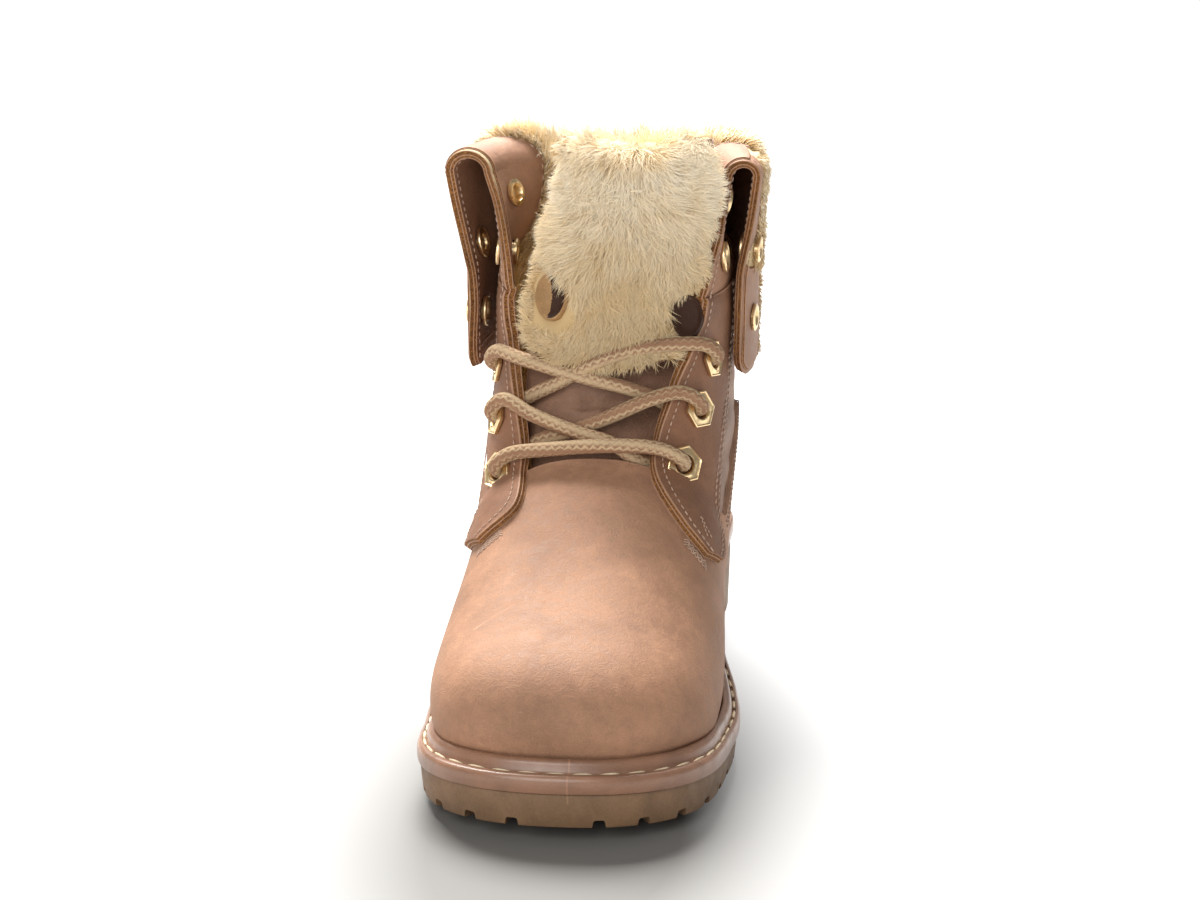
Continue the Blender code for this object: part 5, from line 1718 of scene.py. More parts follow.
# ---------------------------------------------------------------- eyelets
@dataclass
class Eyelets:
    """Hexagonal eyelets of the quarters and round ones of the collar."""

    hex_rows: tuple[float, ...] = (11.6, 13.55, 15.55)
    standing: tuple[float, ...] = (150.0, 168.0)
    hanging: tuple[float, ...] = (149.0, 126.0)
    from_edge: float = 12.0
    segments: int = 36
    wall: float = 3.8

    def hex_frame(self, side: Side, number: int, from_edge: float | None = None) -> Frame:
        """Spot, across, along and outward axes of a hexagonal eyelet.

        Args:
            side: Side of the boot.
            number: 0 for the lowest.
            from_edge: Distance behind the front edge.

        Returns:
            The frame.
        """
        skin, t = LAST.skins[side], self.hex_rows[number]
        back = self.from_edge if from_edge is None else from_edge
        spot, ahead, beside = skin.at(t, back), skin.at(t + 0.1, back), skin.at(t, back + 1)
        return self._axes(spot, ahead, beside, np.array([side.value, -0.3, 0]))

    def round_frame(self, side: Side, number: int) -> Frame:
        """Frame of a round eyelet: 0 and 1 stand, 2 and 3 hang.

        Args:
            side: Side of the boot.
            number: Which of its four.

        Returns:
            The frame, outward on the leather's grain side.
        """
        table, out = (STANDING, 1) if number < 2 else (HANGING, -1)
        z = (*self.standing, *self.hanging)[number]

        def spot(height: float, shift: float) -> Array:
            """A point of the collar near the eyelet."""
            length = LAST._level(table, height, side, np.zeros(1))[1]
            return LAST._level(table, height, side, np.array([(self.from_edge + shift) / length]))[0][0]

        return self._axes(spot(z, 0), spot(z + 1, 0), spot(z, 1), np.array([side.value * out, 0, 0]))

    @staticmethod
    def _axes(spot: Array, ahead: Array, beside: Array, out: Array) -> Frame:
        """Axes from a spot and two points beside it."""
        along = unit(ahead - spot)
        normal = unit(np.cross(beside - spot, along))
        normal = -normal if normal @ out < 0 else normal
        return spot, np.cross(along, normal), along, normal

    def _turned(self, draft: Draft, profile: Sequence[tuple[float, float, bool]], place: Frame) -> None:
        """Add a ring turned from a closed profile.

        Args:
            draft: Where it goes.
            profile: (radius, height, whether hexagonal) of each corner.
            place: The frame it is turned about.
        """
        spot, across, along, normal = place
        angle = np.linspace(0, 2 * math.pi, self.segments, endpoint=False)
        sixth = math.pi / 3
        rings = []
        for radius, height, hexagonal in [*profile, profile[0]]:
            r = (radius / np.cos((angle + sixth / 2) % sixth - sixth / 2) if hexagonal
                 else np.full_like(angle, radius))
            rings.append(spot + across * (r * np.cos(angle))[:, None] + along * (r * np.sin(angle))[:, None]
                         + normal * height)
        draft.net(np.array(rings), closed=True)

    def eyelet(self, name: str, place: Frame, hexagonal: bool, seats: tuple[float, float]) -> None:
        """One grommet: rolled flange, barrel and washer.

        Args:
            name: The CAD node it stands for.
            place: Its frame.
            hexagonal: Whether its flange is.
            seats: Height of the flange over the leather, and of the washer below it.
        """
        front, back = seats[0], -self.wall - seats[1]
        hole, flange = (3.2, 6.0) if hexagonal else (2.8, 5.5)
        profile = [(hole, front - 0.6, False), (hole + 0.06, front + 0.35, False),
                   (hole + 0.35, front + 0.85, False), (hole + 0.8, front + 0.95, False),
                   (hole + 1.2, front + 0.62, hexagonal),
                   (flange - 0.75, front + 0.6, hexagonal), (flange - 0.4, front + 0.95, hexagonal),
                   (flange - 0.08, front + 0.75, hexagonal), (flange, front + 0.35, hexagonal),
                   (flange - 0.2, front - 0.35, hexagonal), (hole + 0.45, front - 0.35, False),
                   (hole + 0.45, back + 0.3, False), (4.7, back + 0.2, False), (4.8, back - 0.5, False),
                   (4.2, back - 0.85, False), (hole + 0.3, back - 0.9, False), (hole, back - 0.5, False)]
        draft = Draft()
        self._turned(draft, profile, place)
        settle(draft.make(name.replace("_eyelet", "_grommet"), Finish.BRASS), Finish.BRASS, name)

    def build(self) -> None:
        """Make all fourteen."""
        for side in Side:
            for number in range(3):
                self.eyelet(f"hex_eyelet_{side.label}_{number + 1}", self.hex_frame(side, number), True,
                            (1.4, 1.2))
            for number in range(4):
                stands = number < 2
                self.eyelet(f"{'shaft' if stands else 'cuff'}_eyelet_{side.label}_{number % 2 + 1}",
                            self.round_frame(side, number), False, (0.5, 1.2) if stands else (1.2, 0.5))


def cut(piece: Piece, cutter: Piece, sharp: float, **settings: Any) -> Piece:
    """Cut a closed body out of a piece.

    Args:
        piece: The piece, which is replaced.
        cutter: The body, which is removed.
        sharp: Angle from which an edge stays sharp.
        settings: Further settings of the exact boolean.

    Returns:
        The piece that is left.
    """
    step = piece.modifiers.new("cut", "BOOLEAN")
    step.operation, step.object, step.solver = "DIFFERENCE", cutter, "EXACT"
    for setting, value in settings.items():
        setattr(step, setting, value)
    name = piece.name
    mesh = applied(piece, name, cutter)
    mesh.set_sharp_from_angle(angle=sharp)
    return placed(name, mesh)


def pierced(piece: Piece, bores: Sequence[Frame]) -> Piece:
    """Cut round eyelet holes, given by their frames, through a piece."""
    draft = Draft()
    angle = np.linspace(0, 2 * math.pi, 28, endpoint=False)
    for spot, across, along, normal in bores:
        ring = spot + EYELET_BORE * (across * np.cos(angle)[:, None] + along * np.sin(angle)[:, None])
        middle = np.repeat(spot[None], 28, axis=0)
        low, high = normal * 12, normal * 8
        draft.net(np.array([middle - low, ring - low, ring + high, middle + high]), closed=True)
    return cut(piece, draft.make("cutter", Finish.EDGE), SHARP_EDGE, material_mode="TRANSFER")


# ---------------------------------------------------------------- collar
@dataclass
class Collar:
    """The collar: up from the quarters, folded outwards, its fur outside."""

    leather: float = 3.0
    strip: float = 34.0
    kink: float = 2.47
    half_length: float = 110.5
    columns: int = 56
    stitches: Stitching = field(default_factory=lambda: Stitching("collar_stitches"))
    eyelets: Eyelets = field(default_factory=Eyelets)
    wide_stitches: Stitching = field(
        default_factory=lambda: Stitching("strip_stitches", pitch=4.2, length=2.6))

    def _net(self, rows: Array, backs: Array) -> tuple[Array, Array]:
        """Grain side of both halves, from the lateral front edge round to the medial one."""
        halves = []
        for side in Side:
            skin = LAST.collars[side]
            halves.append(skin.lay(rows, skin.share(rows[:, None], backs[None, :] * skin.front[0])))
        return joined(halves)

    def shell(self, bores: Sequence[Frame]) -> None:
        """The leather, grain inside the fold, with its eyelet holes."""
        rows = np.concatenate([np.linspace(0.0, 1, 20)[:-1], np.linspace(1, 2, 17)[:-1],
                               np.linspace(2, 3, 28)])
        backs = np.linspace(0, 1, self.columns) ** 1.25
        net, normals = self._net(rows, backs)
        net = net + normals * (0.4 * drift(net, 24, 9) * ease(rows / 0.3)[:, None])[..., None]
        net[0] += np.array([0, 0, -1.5]) - 0.6 * normals[0]
        draft = Draft()
        sheet(draft, net, normals, 0.0, -self.leather, under=3)
        piece = draft.make("collar_leather", Finish.NUBUCK, Finish.SKIN, Finish.EDGE, Finish.LINING)
        for side in Side:
            skin = LAST.collars[side]
            line, up = skin.strip([(v, 3.0) for v in np.linspace(0.02, 2.96, 30)], 260, THREAD_LIFT)
            self.stitches.sew(line, up)
            self.stitches.sew(line - up * (self.leather + 0.24), -up)
            for v in (2.94, 2.9):
                self.stitches.sew(*skin.strip([(v, b) for b in np.linspace(5, 108, 20)], 160, THREAD_LIFT))
        settle(pierced(piece, bores), Finish.NUBUCK, "shaft")

    def lining_strips(self) -> None:
        """Smooth leather behind each front edge on the fur's side, round at its upper rear corner."""
        for side in Side:
            skin = LAST.collars[side]
            ends = (("standing", 0.02, 1.99), ("hanging", 2.0, 2.985)) if side is Side.LATERAL else (
                ("standing", 0.02, 1.62), ("hanging", self.kink, 2.985))
            for name, low, high in ends:
                up, across = np.meshgrid(np.linspace(0, 1, 40), np.linspace(0, 1, 13), indexing="ij")
                wide = self.strip * (1 - self._narrowing(low + (high - low) * up))
                row, back = low + (high - low) * up, 1.2 + (wide - 1.2) * across
                share = skin.share(row, back)
                net, normals = skin.read(row, share), -skin.normal(row, share)
                draft = Draft()
                sheet(draft, net, normals, self.leather + 0.85, self.leather - 0.3)
                frames = [self.eyelets.round_frame(side, k) for k in ((0, 1) if low < 1 else (2, 3))]
                piece = draft.make(f"{name}_strip_{side.label}", Finish.LINING, Finish.SKIN, Finish.EDGE)
                settle(pierced(piece, frames), Finish.LINING)
                share = skin.share(row[:, 0], wide[:, 0] - 2.2)
                line, out = skin.read(row[:, 0], share), -skin.normal(row[:, 0], share)
                self.wide_stitches.sew(line + out * (self.leather + 0.95), out)

    @staticmethod
    def _narrowing(row: Array) -> Array:
        """Share that the leather strip loses towards its round corner at the crest."""
        return 0.42 * bell((row - 1.72) / 0.36)

    def fur(self) -> None:
        """Fur of the collar, in three pieces."""
        rows, backs = np.linspace(0.0, 2.995, 120), np.linspace(0, 1, 90)
        net, grain = self._net(rows, backs)
        out = -grain
        away = np.concatenate([backs, backs[-2::-1]])[None, :] * self.half_length
        row = rows[:, None]
        lateral = np.arange(net.shape[1])[None, :] < len(backs)
        bare = self.strip * (1 - self._narrowing(row)) * np.ones_like(away)
        bare = np.where(~lateral & (row > 1.74) & (row < self.kink), 9.0, bare)
        thick = ease((away - bare + 1.0) / 2.5)
        heading = np.gradient(net, axis=0)
        comb = swirled(net, out, heading, 3)
        edge = ease((away - bare) / 9.0)
        flat = ease((row - 1.55) / 0.3) * ease((84 - away) / 14)
        pile = (6.2 + 3.4 * edge) * (1 - 0.52 * flat) * (1 + 0.16 * drift(net, 9, 31))
        root = net + out * self.leather
        lump = (1.6 * edge * (1 - 0.6 * flat) + 0.5 * drift(net, 6, 41)) * (thick > 0.2)
        backed("collar_pile_backing", root[COARSE], out[COARSE],
               (np.maximum(lump, 0.05) * thick + 0.02)[COARSE], -0.4)
        cuts = ((0, 46, 1), (45, 84, 2), (83, 120, 3))
        for label, (first, last, seed) in zip(("inner", "fold", "cuff"), cuts):
            part = slice(first, last)
            Fur(f"collar_fur_{label}", root[part], out[part], comb[part], pile[part], thick[part],
                density=2.7, width=0.42, lean=0.85, stray=0.34, seed=seed).build()

    def build(self) -> None:
        """Make every piece of the collar."""
        frames = [self.eyelets.round_frame(side, k) for side in Side for k in range(4)]
        self.shell(frames)
        self.lining_strips()
        self.fur()
        self.stitches.build()
        self.wide_stitches.build()


# ---------------------------------------------------------------- tongue
TONGUE = Table("x s z half curl depth", [
    (-3, 112.5, 78.6, 19, 7, 2), (-3, 120, 83.4, 21, 8, 2.6),
    (-3, 127.5, 90, 23, 8.5, 4), (-3, 134.5, 98.5, 25, 8.5, 6),
    (-2.5, 141.5, 109, 27, 8, 8), (-1.4, 148.5, 122.5, 27, 7, 9),
    (1.4, 154.5, 138.5, 26.2, 6, 9.5), (4, 159.5, 155.5, 25.2, 5.5, 9.5),
    (6.4, 163, 170.5, 25, 5, 9.5), (8, 165, 180, 25, 5, 9.5),
    (8.2, 163.6, 184.6, 26.2, 4.8, 9.5), (8.7, 160.6, 185, 25.7, 4.8, 9.5),
    (8.9, 158.6, 181.5, 25.5, 5, 9.5), (7.8, 156.2, 170.5, 26, 5.2, 9.5),
    (4.4, 152.6, 156, 26.4, 5.2, 9.5), (0.4, 147.4, 140, 27.1, 5, 9),
    (-2, 143, 127.5, 26, 4.5, 6.5), (-2.4, 140, 118, 24.6, 4, 4),
])
TONGUE_CREASES = (
    Crease(((-21, 131, 97), (-12, 131.5, 96), (-2, 131, 93.5), (8, 132, 95), (16, 134, 99)),
           2.2, 1.5),
    Crease(((-20, 137, 104), (-10, 137.5, 103.5), (4, 138, 105), (17, 140, 109)), 2.4, 1.6),
    Crease(((-22, 143, 113), (-8, 144, 114), (8, 144, 112), (20, 146, 116)), 2.4, 1.4),
    Crease(((-18, 126, 90), (-8, 126, 88.6), (4, 126, 88.5), (14, 127, 90.5)), 1.8, 1.1),
    Crease(((-9, 132, 98), (-3, 136.5, 103), (1, 141, 109.5)), 1.8, -0.7),
)


@dataclass(frozen=True)
class FlapSlot:
    """A lacing slot in the fur of the tongue's flap, its cup painted dark as shade except, where its flag is
    set, a lit tan wall on its lateral side and rim.
    """

    x: float
    z: float
    half_width: float
    half_height: float
    tilt: float
    lined: bool


@dataclass
class Tongue:
    """Tongue of leather with a furred back, its top folded forward."""

    fold: float = 10.0
    leather: float = 2.0
    slots: tuple[FlapSlot, ...] = (FlapSlot(-19.2, 138.4, 5.2, 7.8, 0.1, True),
                                   FlapSlot(28.6, 131.2, 5.0, 6.8, -0.12, False))

    def net(self, t: Array, across: Array) -> tuple[Array, Array, Array]:
        """Leather side of the tongue.

        Args:
            t: Rows.
            across: Places across it, -1 to 1.

        Returns:
            Points, normals towards the fur, and the depth of the fur.
        """
        row = TONGUE.at(t)
        run = unit(np.column_stack([np.gradient(row.s), np.gradient(row.z)]))
        edge = np.abs(across)[None, :] ** 2.0
        back = row.curl[:, None] * edge * (1 - 2 * ease((t - self.fold) / 3.0))[:, None]
        points = np.stack([row.x[:, None] + across * row.half[:, None],
                           row.s[:, None] + run[:, 1:2] * back, row.z[:, None] - run[:, 0:1] * back], axis=-1)
        corner = np.where(across < 0, 8.5, 3.0) * np.abs(across) ** 4
        points[..., 2] += corner * ease((t - 14.2) / 2.8)[:, None]
        up, side = np.gradient(points, axis=0), np.gradient(points, axis=1)
        out = unit(np.cross(up, side))
        behind = np.column_stack([np.zeros(len(t)), run[:, 1], -run[:, 0]])
        out *= np.sign(np.sum(out * behind[:, None], axis=-1, keepdims=True))
        depth = row.depth[:, None] * np.sqrt(np.clip(1.02 - np.abs(across) ** 3, 0.12, 1))
        return points, out, depth

    def body(self) -> None:
        """The leather, crumpled where it bends at the instep."""
        net, out, _ = self.net(np.concatenate([np.linspace(0, 6, 62)[:-1], np.linspace(6, 17, 44)]),
                               np.linspace(-1, 1, 36))
        net = creased(net, -out, TONGUE_CREASES)
        net = net + out * (0.35 * drift(net, 13, 21))[..., None]
        draft = Draft()
        sheet(draft, net, -out, 0.0, -self.leather)
        settle(draft.make("tongue_leather", Finish.TONGUE, Finish.SKIN, Finish.EDGE),
               Finish.TONGUE, "tongue")

    def _slot_share(self, net: Array) -> Array:
        """How near each point is to a slot: below 1 inside it."""
        best = np.full(net.shape[:2], 9.0)
        for slot in self.slots:
            dx, dz = net[..., 0] - slot.x, net[..., 2] - slot.z
            across = dx * math.cos(slot.tilt) + dz * math.sin(slot.tilt)
            up = dz * math.cos(slot.tilt) - dx * math.sin(slot.tilt)
            best = np.minimum(best, np.sqrt((across / slot.half_width) ** 2 + (up / slot.half_height) ** 2))
        return best

    def fur(self) -> None:
        """Fur of the tongue's back, its fold and its flap."""
        t, across = np.linspace(5.0, 17.0, 170), np.linspace(-1, 1, 70)
        net, out, depth = self.net(t, across)
        root = net + out * self.leather
        near = np.where(t[:, None] > 12.5, self._slot_share(net), 9.0)
        thick = ease((near - 1.08) / 0.12) * (0.35 + 0.65 * ease((t - 8.0) / 1.5))[:, None]
        outwards = (np.sign(across) * np.abs(across))[None, :, None]
        heading = np.gradient(net, axis=0) + np.gradient(net, axis=1) * outwards
        comb = swirled(net, out, heading, 12, 0.75, 0.8)
        away, slope = np.zeros_like(net), np.gradient(np.minimum(near, 3))
        away[..., 0], away[..., 2] = slope[1], -slope[0]
        parted = (1.5 * ease((1.9 - near) / 0.7))[..., None]
        comb = unit(comb + unit(away + 1e-9) * parted)
        pile = ((np.clip(depth, 4.5, 9.5) * 1.16 + 0.9 * drift(net, 8, 33))
                * (0.5 + 0.5 * ease((near - 1.0) / 1.0)))
        lump = np.clip(depth - self.leather, 0.6, 8) * 0.34 + 0.5 * drift(net, 5, 43)
        lump = np.maximum(lump * ease((near - 1.0) / 0.3), 0.1)
        edge = ease((1 - np.abs(across)) / 0.12)[None, :] * ease((17.0 - t) / 0.6)[:, None]
        backed("tongue_pile_backing", root[COARSE], out[COARSE], (lump * edge + 0.1)[COARSE], -0.4)
        for label, first, last, seed, density in (("back", 0, 84, 5, 2.2), ("flap", 82, 170, 6, 10.0)):
            part = slice(first, last)
            Fur(f"tongue_fur_{label}", root[part], out[part], comb[part], pile[part], thick[part],
                density, width=0.25, lean=1.05, stray=0.3, seed=seed).build()

    def slot_linings(self) -> None:
        """Cups in the flap's slots, painted dark as shade, with tan leather on the lit lateral wall and rim
        of the first.
        """
        t, across = np.linspace(12.5, 17.0, 120), np.linspace(-1, 1, 90)
        net, out, _ = self.net(t, across)
        for number, slot in enumerate(self.slots, 1):
            at = np.argmin((net[..., 0] - slot.x) ** 2 + (net[..., 2] - slot.z) ** 2)
            spot, normal = net.reshape(-1, 3)[at], out.reshape(-1, 3)[at]
            up = unit(np.array([math.sin(-slot.tilt), 0, math.cos(slot.tilt)]))
            beside = unit(np.cross(up, normal))
            up = np.cross(normal, beside)
            angle = np.linspace(0, 2 * math.pi, 64, endpoint=False)
            cup = smooth(np.linspace(0, 1, 9), np.array((
                (0.02, 2.6), (0.4, 2.7), (0.62, 2.9), (0.8, 3.5), (0.94, 4.2), (1.02, 4.6), (1.06, 4.4),
                (1.08, 3.8), (1.08, 2.2))), np.linspace(0, 1, 25))
            rings = []
            for share, height in cup:
                shift = (2.2 - 0.44 * height) * beside * np.sign(beside[0])
                rings.append(spot + shift + beside * (share * slot.half_width * np.cos(angle))[:, None]
                             + up * (share * slot.half_height * np.sin(angle))[:, None] + normal * height)
            draft = Draft()
            # Painted shade: every face but the lit lateral wall and rim of the first slot gets the dark shade
            # finish.
            lined = ((cup[1:, :1] * np.cos(angle + math.pi / 64) * np.sign(beside[0]) < -0.22)
                     | (cup[1:, :1] > 1.0))
            lined &= slot.lined
            draft.net(np.array(rings), lined.astype(int).ravel(), closed=True)
            settle(draft.make(f"flap_slot_{number}", Finish.SHADE, Finish.SLOT, outward=False), Finish.SLOT)

    def build(self) -> None:
        """Make every piece of the tongue."""
        self.body()
        self.fur()
        self.slot_linings()


# ---------------------------------------------------------------- lining and footbed
@dataclass
class Lining:
    """Fur inside the quarters and on the footbed."""

    depth: float = 6.0
    insole_room: float = 1.5
    insole_height: float = 5.0

    def quarters(self) -> None:
        """Pile backing and its hairs inside both quarters."""
        rows = np.concatenate([np.linspace(11.6, 16.5, 24)[:-1],
                               LAST.heel_row - np.linspace(0.7, 0, 6)[:-1] ** 2,
                               np.linspace(LAST.heel_row, 21, 16)])
        halves = []
        for side in Side:
            skin = LAST.skins[side]
            low = 0.03 * ease((17.3 - rows) / 0.8)
            high = skin.share(rows, np.full(len(rows), 33.0))
            share = high[:, None] + (low - high)[:, None] * np.linspace(0, 1, 28)
            halves.append(skin.lay(rows, share))
        net, grain = joined(halves)
        out = -grain
        root = net + out * 3.0
        backed("quarter_lining", root, out, (self.depth - 3.0) + 0.7 * drift(net, 7, 51), -0.6)
        thick = ease((net[..., 2] - 84) / 40)
        comb = swirled(net, out, np.gradient(net, axis=0) + np.array([0, 0, 0.4]), 14)
        pile = 5.5 + 0.8 * drift(net, 8, 53)
        Fur("quarter_lining_fur", root + out * 2.0, out, comb, pile, thick,
            density=0.6, width=0.6, lean=0.8, stray=0.4, seed=8).build()

    def footbed(self) -> None:
        """Furred footbed."""
        def inset(s: Array) -> Array:
            """Margin of the footbed's edge."""
            return -0.3 - 3.8 - self.insole_room - 4.7 * ease((s - 90) / 40) - 2.5 * ease((s - 232) / 15)

        stations = LAST.stations(14, 60, 14)
        lateral, medial = LAST.outline(stations, inset)
        across = np.linspace(0, 1, 21)
        flat = lateral[:, None] + (medial - lateral)[:, None] * across[None, :, None]
        height = LAST.welt_top(flat[..., 1]) + 0.3
        net = np.concatenate([flat, height[..., None]], axis=-1)
        up = np.zeros_like(net)
        up[..., 2] = 1.0
        crown = self.insole_height - 1.2 * np.abs(2 * across - 1) ** 3 + 0.5 * drift(net, 8, 61)
        backed("footbed", net, up, crown, 0.0, "insole")
        back = net[40:]
        comb = swirled(back, up[40:], np.array([0, -1.0, 0]) + 0 * back, 15)
        pile = np.full(back.shape[:2], 4.0)
        Fur("footbed_fur", back + up[40:] * 4.0, up[40:], comb, pile, pile * 0 + 1,
            density=0.55, width=0.6, lean=0.7, stray=0.4, seed=9).build()


# ---------------------------------------------------------------- lace
STRANDS = {
    "bar": (0, 0, [(-24.5, 121.8, 91.6), (-15, 119.6, 93.3), (-5, 118.7, 94.6), (6.1, 118.6, 95.2),
                   (15.5, 119.8, 94.8)]),
    "second_lateral": (1, None, [
        (-25.5, 131.2, 102), (-15.7, 127.6, 99.2), (-4.9, 124.9, 96.5), (3.7, 123.6, 94.5),
        (10, 124.6, 89.6), (15.5, 127.5, 86.5), (19.5, 131, 84.5)]),
    "second_medial": (1, None, [
        (16.1, 129.6, 108.8), (5.5, 128.4, 104), (-5.1, 129, 99.1), (-12.6, 130.9, 96),
        (-20.4, 132.4, 93.3), (-25.5, 135, 90), (-29.5, 138, 87.5)]),
    "third_lateral": (2, None, [
        (-31.4, 143.2, 118.6), (-17.9, 139, 115.8), (-4.4, 136.5, 113.1), (8.6, 135, 110.5),
        (16, 136, 107.6), (23, 139.5, 103)]),
    "third_medial": (2, None, [
        (24, 141.2, 125), (8.4, 138.3, 123), (-4.4, 136.8, 118.4), (-16.5, 139.5, 110.9),
        (-23.2, 141, 107.1), (-28.8, 143, 103.5), (-33.5, 146.5, 100.3)]),
}


@dataclass
class Lace:
    """Round braided lace, one length a strand between where it comes out and where it goes in."""

    diameter: float = 5.0
    step: float = 0.42
    around: int = 40
    picks: int = 14
    lay: float = 9.8
    eyelets: Eyelets = field(default_factory=Eyelets)

    def _exit(self, side: Side, number: int) -> list[Array]:
        """Points of a strand from inside an eyelet to over the front edge."""
        spots = []
        for from_edge, rise in ((12.7, -5.0), (12.5, -1.5), (12.0, 2.2), (10.2, 4.6), (6.8, 5.0), (2.6, 4.6)):
            place = self.eyelets.hex_frame(side, number, from_edge)
            middle = self.eyelets.hex_frame(side, number)
            normal = unit(middle[3] * 0.6 + place[3] * 0.4)
            spots.append(place[0] + normal * rise)
        return spots

    def _route(self, name: str) -> Array:
        """Middle line of a strand."""
        first, last, between = STRANDS[name]
        side = Side.MEDIAL if name.endswith("medial") else Side.LATERAL
        points = self._exit(side, first) + [np.array(p) for p in between]
        if last is not None:
            points += self._exit(Side.MEDIAL, last)[::-1]
        path = spaced(fair(points, 400), 160)
        for _ in range(26):
            path[1:-1] += (path[:-2] + path[2:] - 2 * path[1:-1]) * 0.25
        length = np.sum(np.linalg.norm(np.diff(path, axis=0), axis=1))
        return spaced(path, int(length / self.step) + 1)

    def build(self) -> None:
        """Make the whole lace, its braid in relief."""
        draft = Draft()
        for shift, name in enumerate(STRANDS):
            path = self._route(name)
            run = unit(np.gradient(path, axis=0))
            beside = unit(np.cross(run, (0.0, 0.0, 1.0)))
            for k in range(1, len(beside)):
                beside[k] = unit(beside[k - 1] - run[k] * (beside[k - 1] @ run[k]))
            over = np.cross(beside, run)
            along = np.arange(len(path))[:, None] * self.step + 5.0 * shift
            turn = (np.arange(self.around) / self.around)[None, :] + 0.004 * along
            first = turn * self.picks + along / self.lay * self.picks / 2
            second = turn * self.picks - along / self.lay * self.picks / 2
            crowns = [np.abs(np.sin(math.pi * p)) ** 0.6 for p in (first, second)]
            above = np.mod(np.floor(first) - np.floor(second), 4) < 2
            relief = np.where(above, np.maximum(crowns[0], crowns[1] - 0.45),
                              np.maximum(crowns[1], crowns[0] - 0.45))
            relief = np.clip(relief, 0, 1)
            cream = np.where(above, np.mod(np.floor(first), 2), np.mod(np.floor(second), 2))
            cream = np.clip(0.5 + 0.45 * np.sin(4 * math.pi * turn + 0.6) + 0.65 * (cream - 0.5), 0, 1)
            radius = self.diameter / 2 - 0.4 * (1 - relief)
            angle = 2 * math.pi * (np.arange(self.around) / self.around)[None, :]
            ends = np.array([0.02, 0.7]) * self.diameter / 2
            radius[0], radius[1] = ends
            radius[-1], radius[-2] = ends
            rings = path[:, None] + (beside[:, None] * np.cos(angle)[..., None]
                                     + over[:, None] * np.sin(angle)[..., None]) * radius[..., None]
            draft.net(rings, closed=True, cream=cream, relief=relief)
            self._cap(draft, rings)
        settle(draft.make("lace_strands", Finish.LACE), Finish.LACE, "lace")

    @staticmethod
    def _cap(draft: Draft, rings: Array) -> None:
        """Close both ends of a strand."""
        for ring in (rings[0], rings[-1]):
            middle = np.repeat(ring.mean(axis=0)[None], len(ring), axis=0)
            draft.net(np.array([ring, middle]), closed=True)


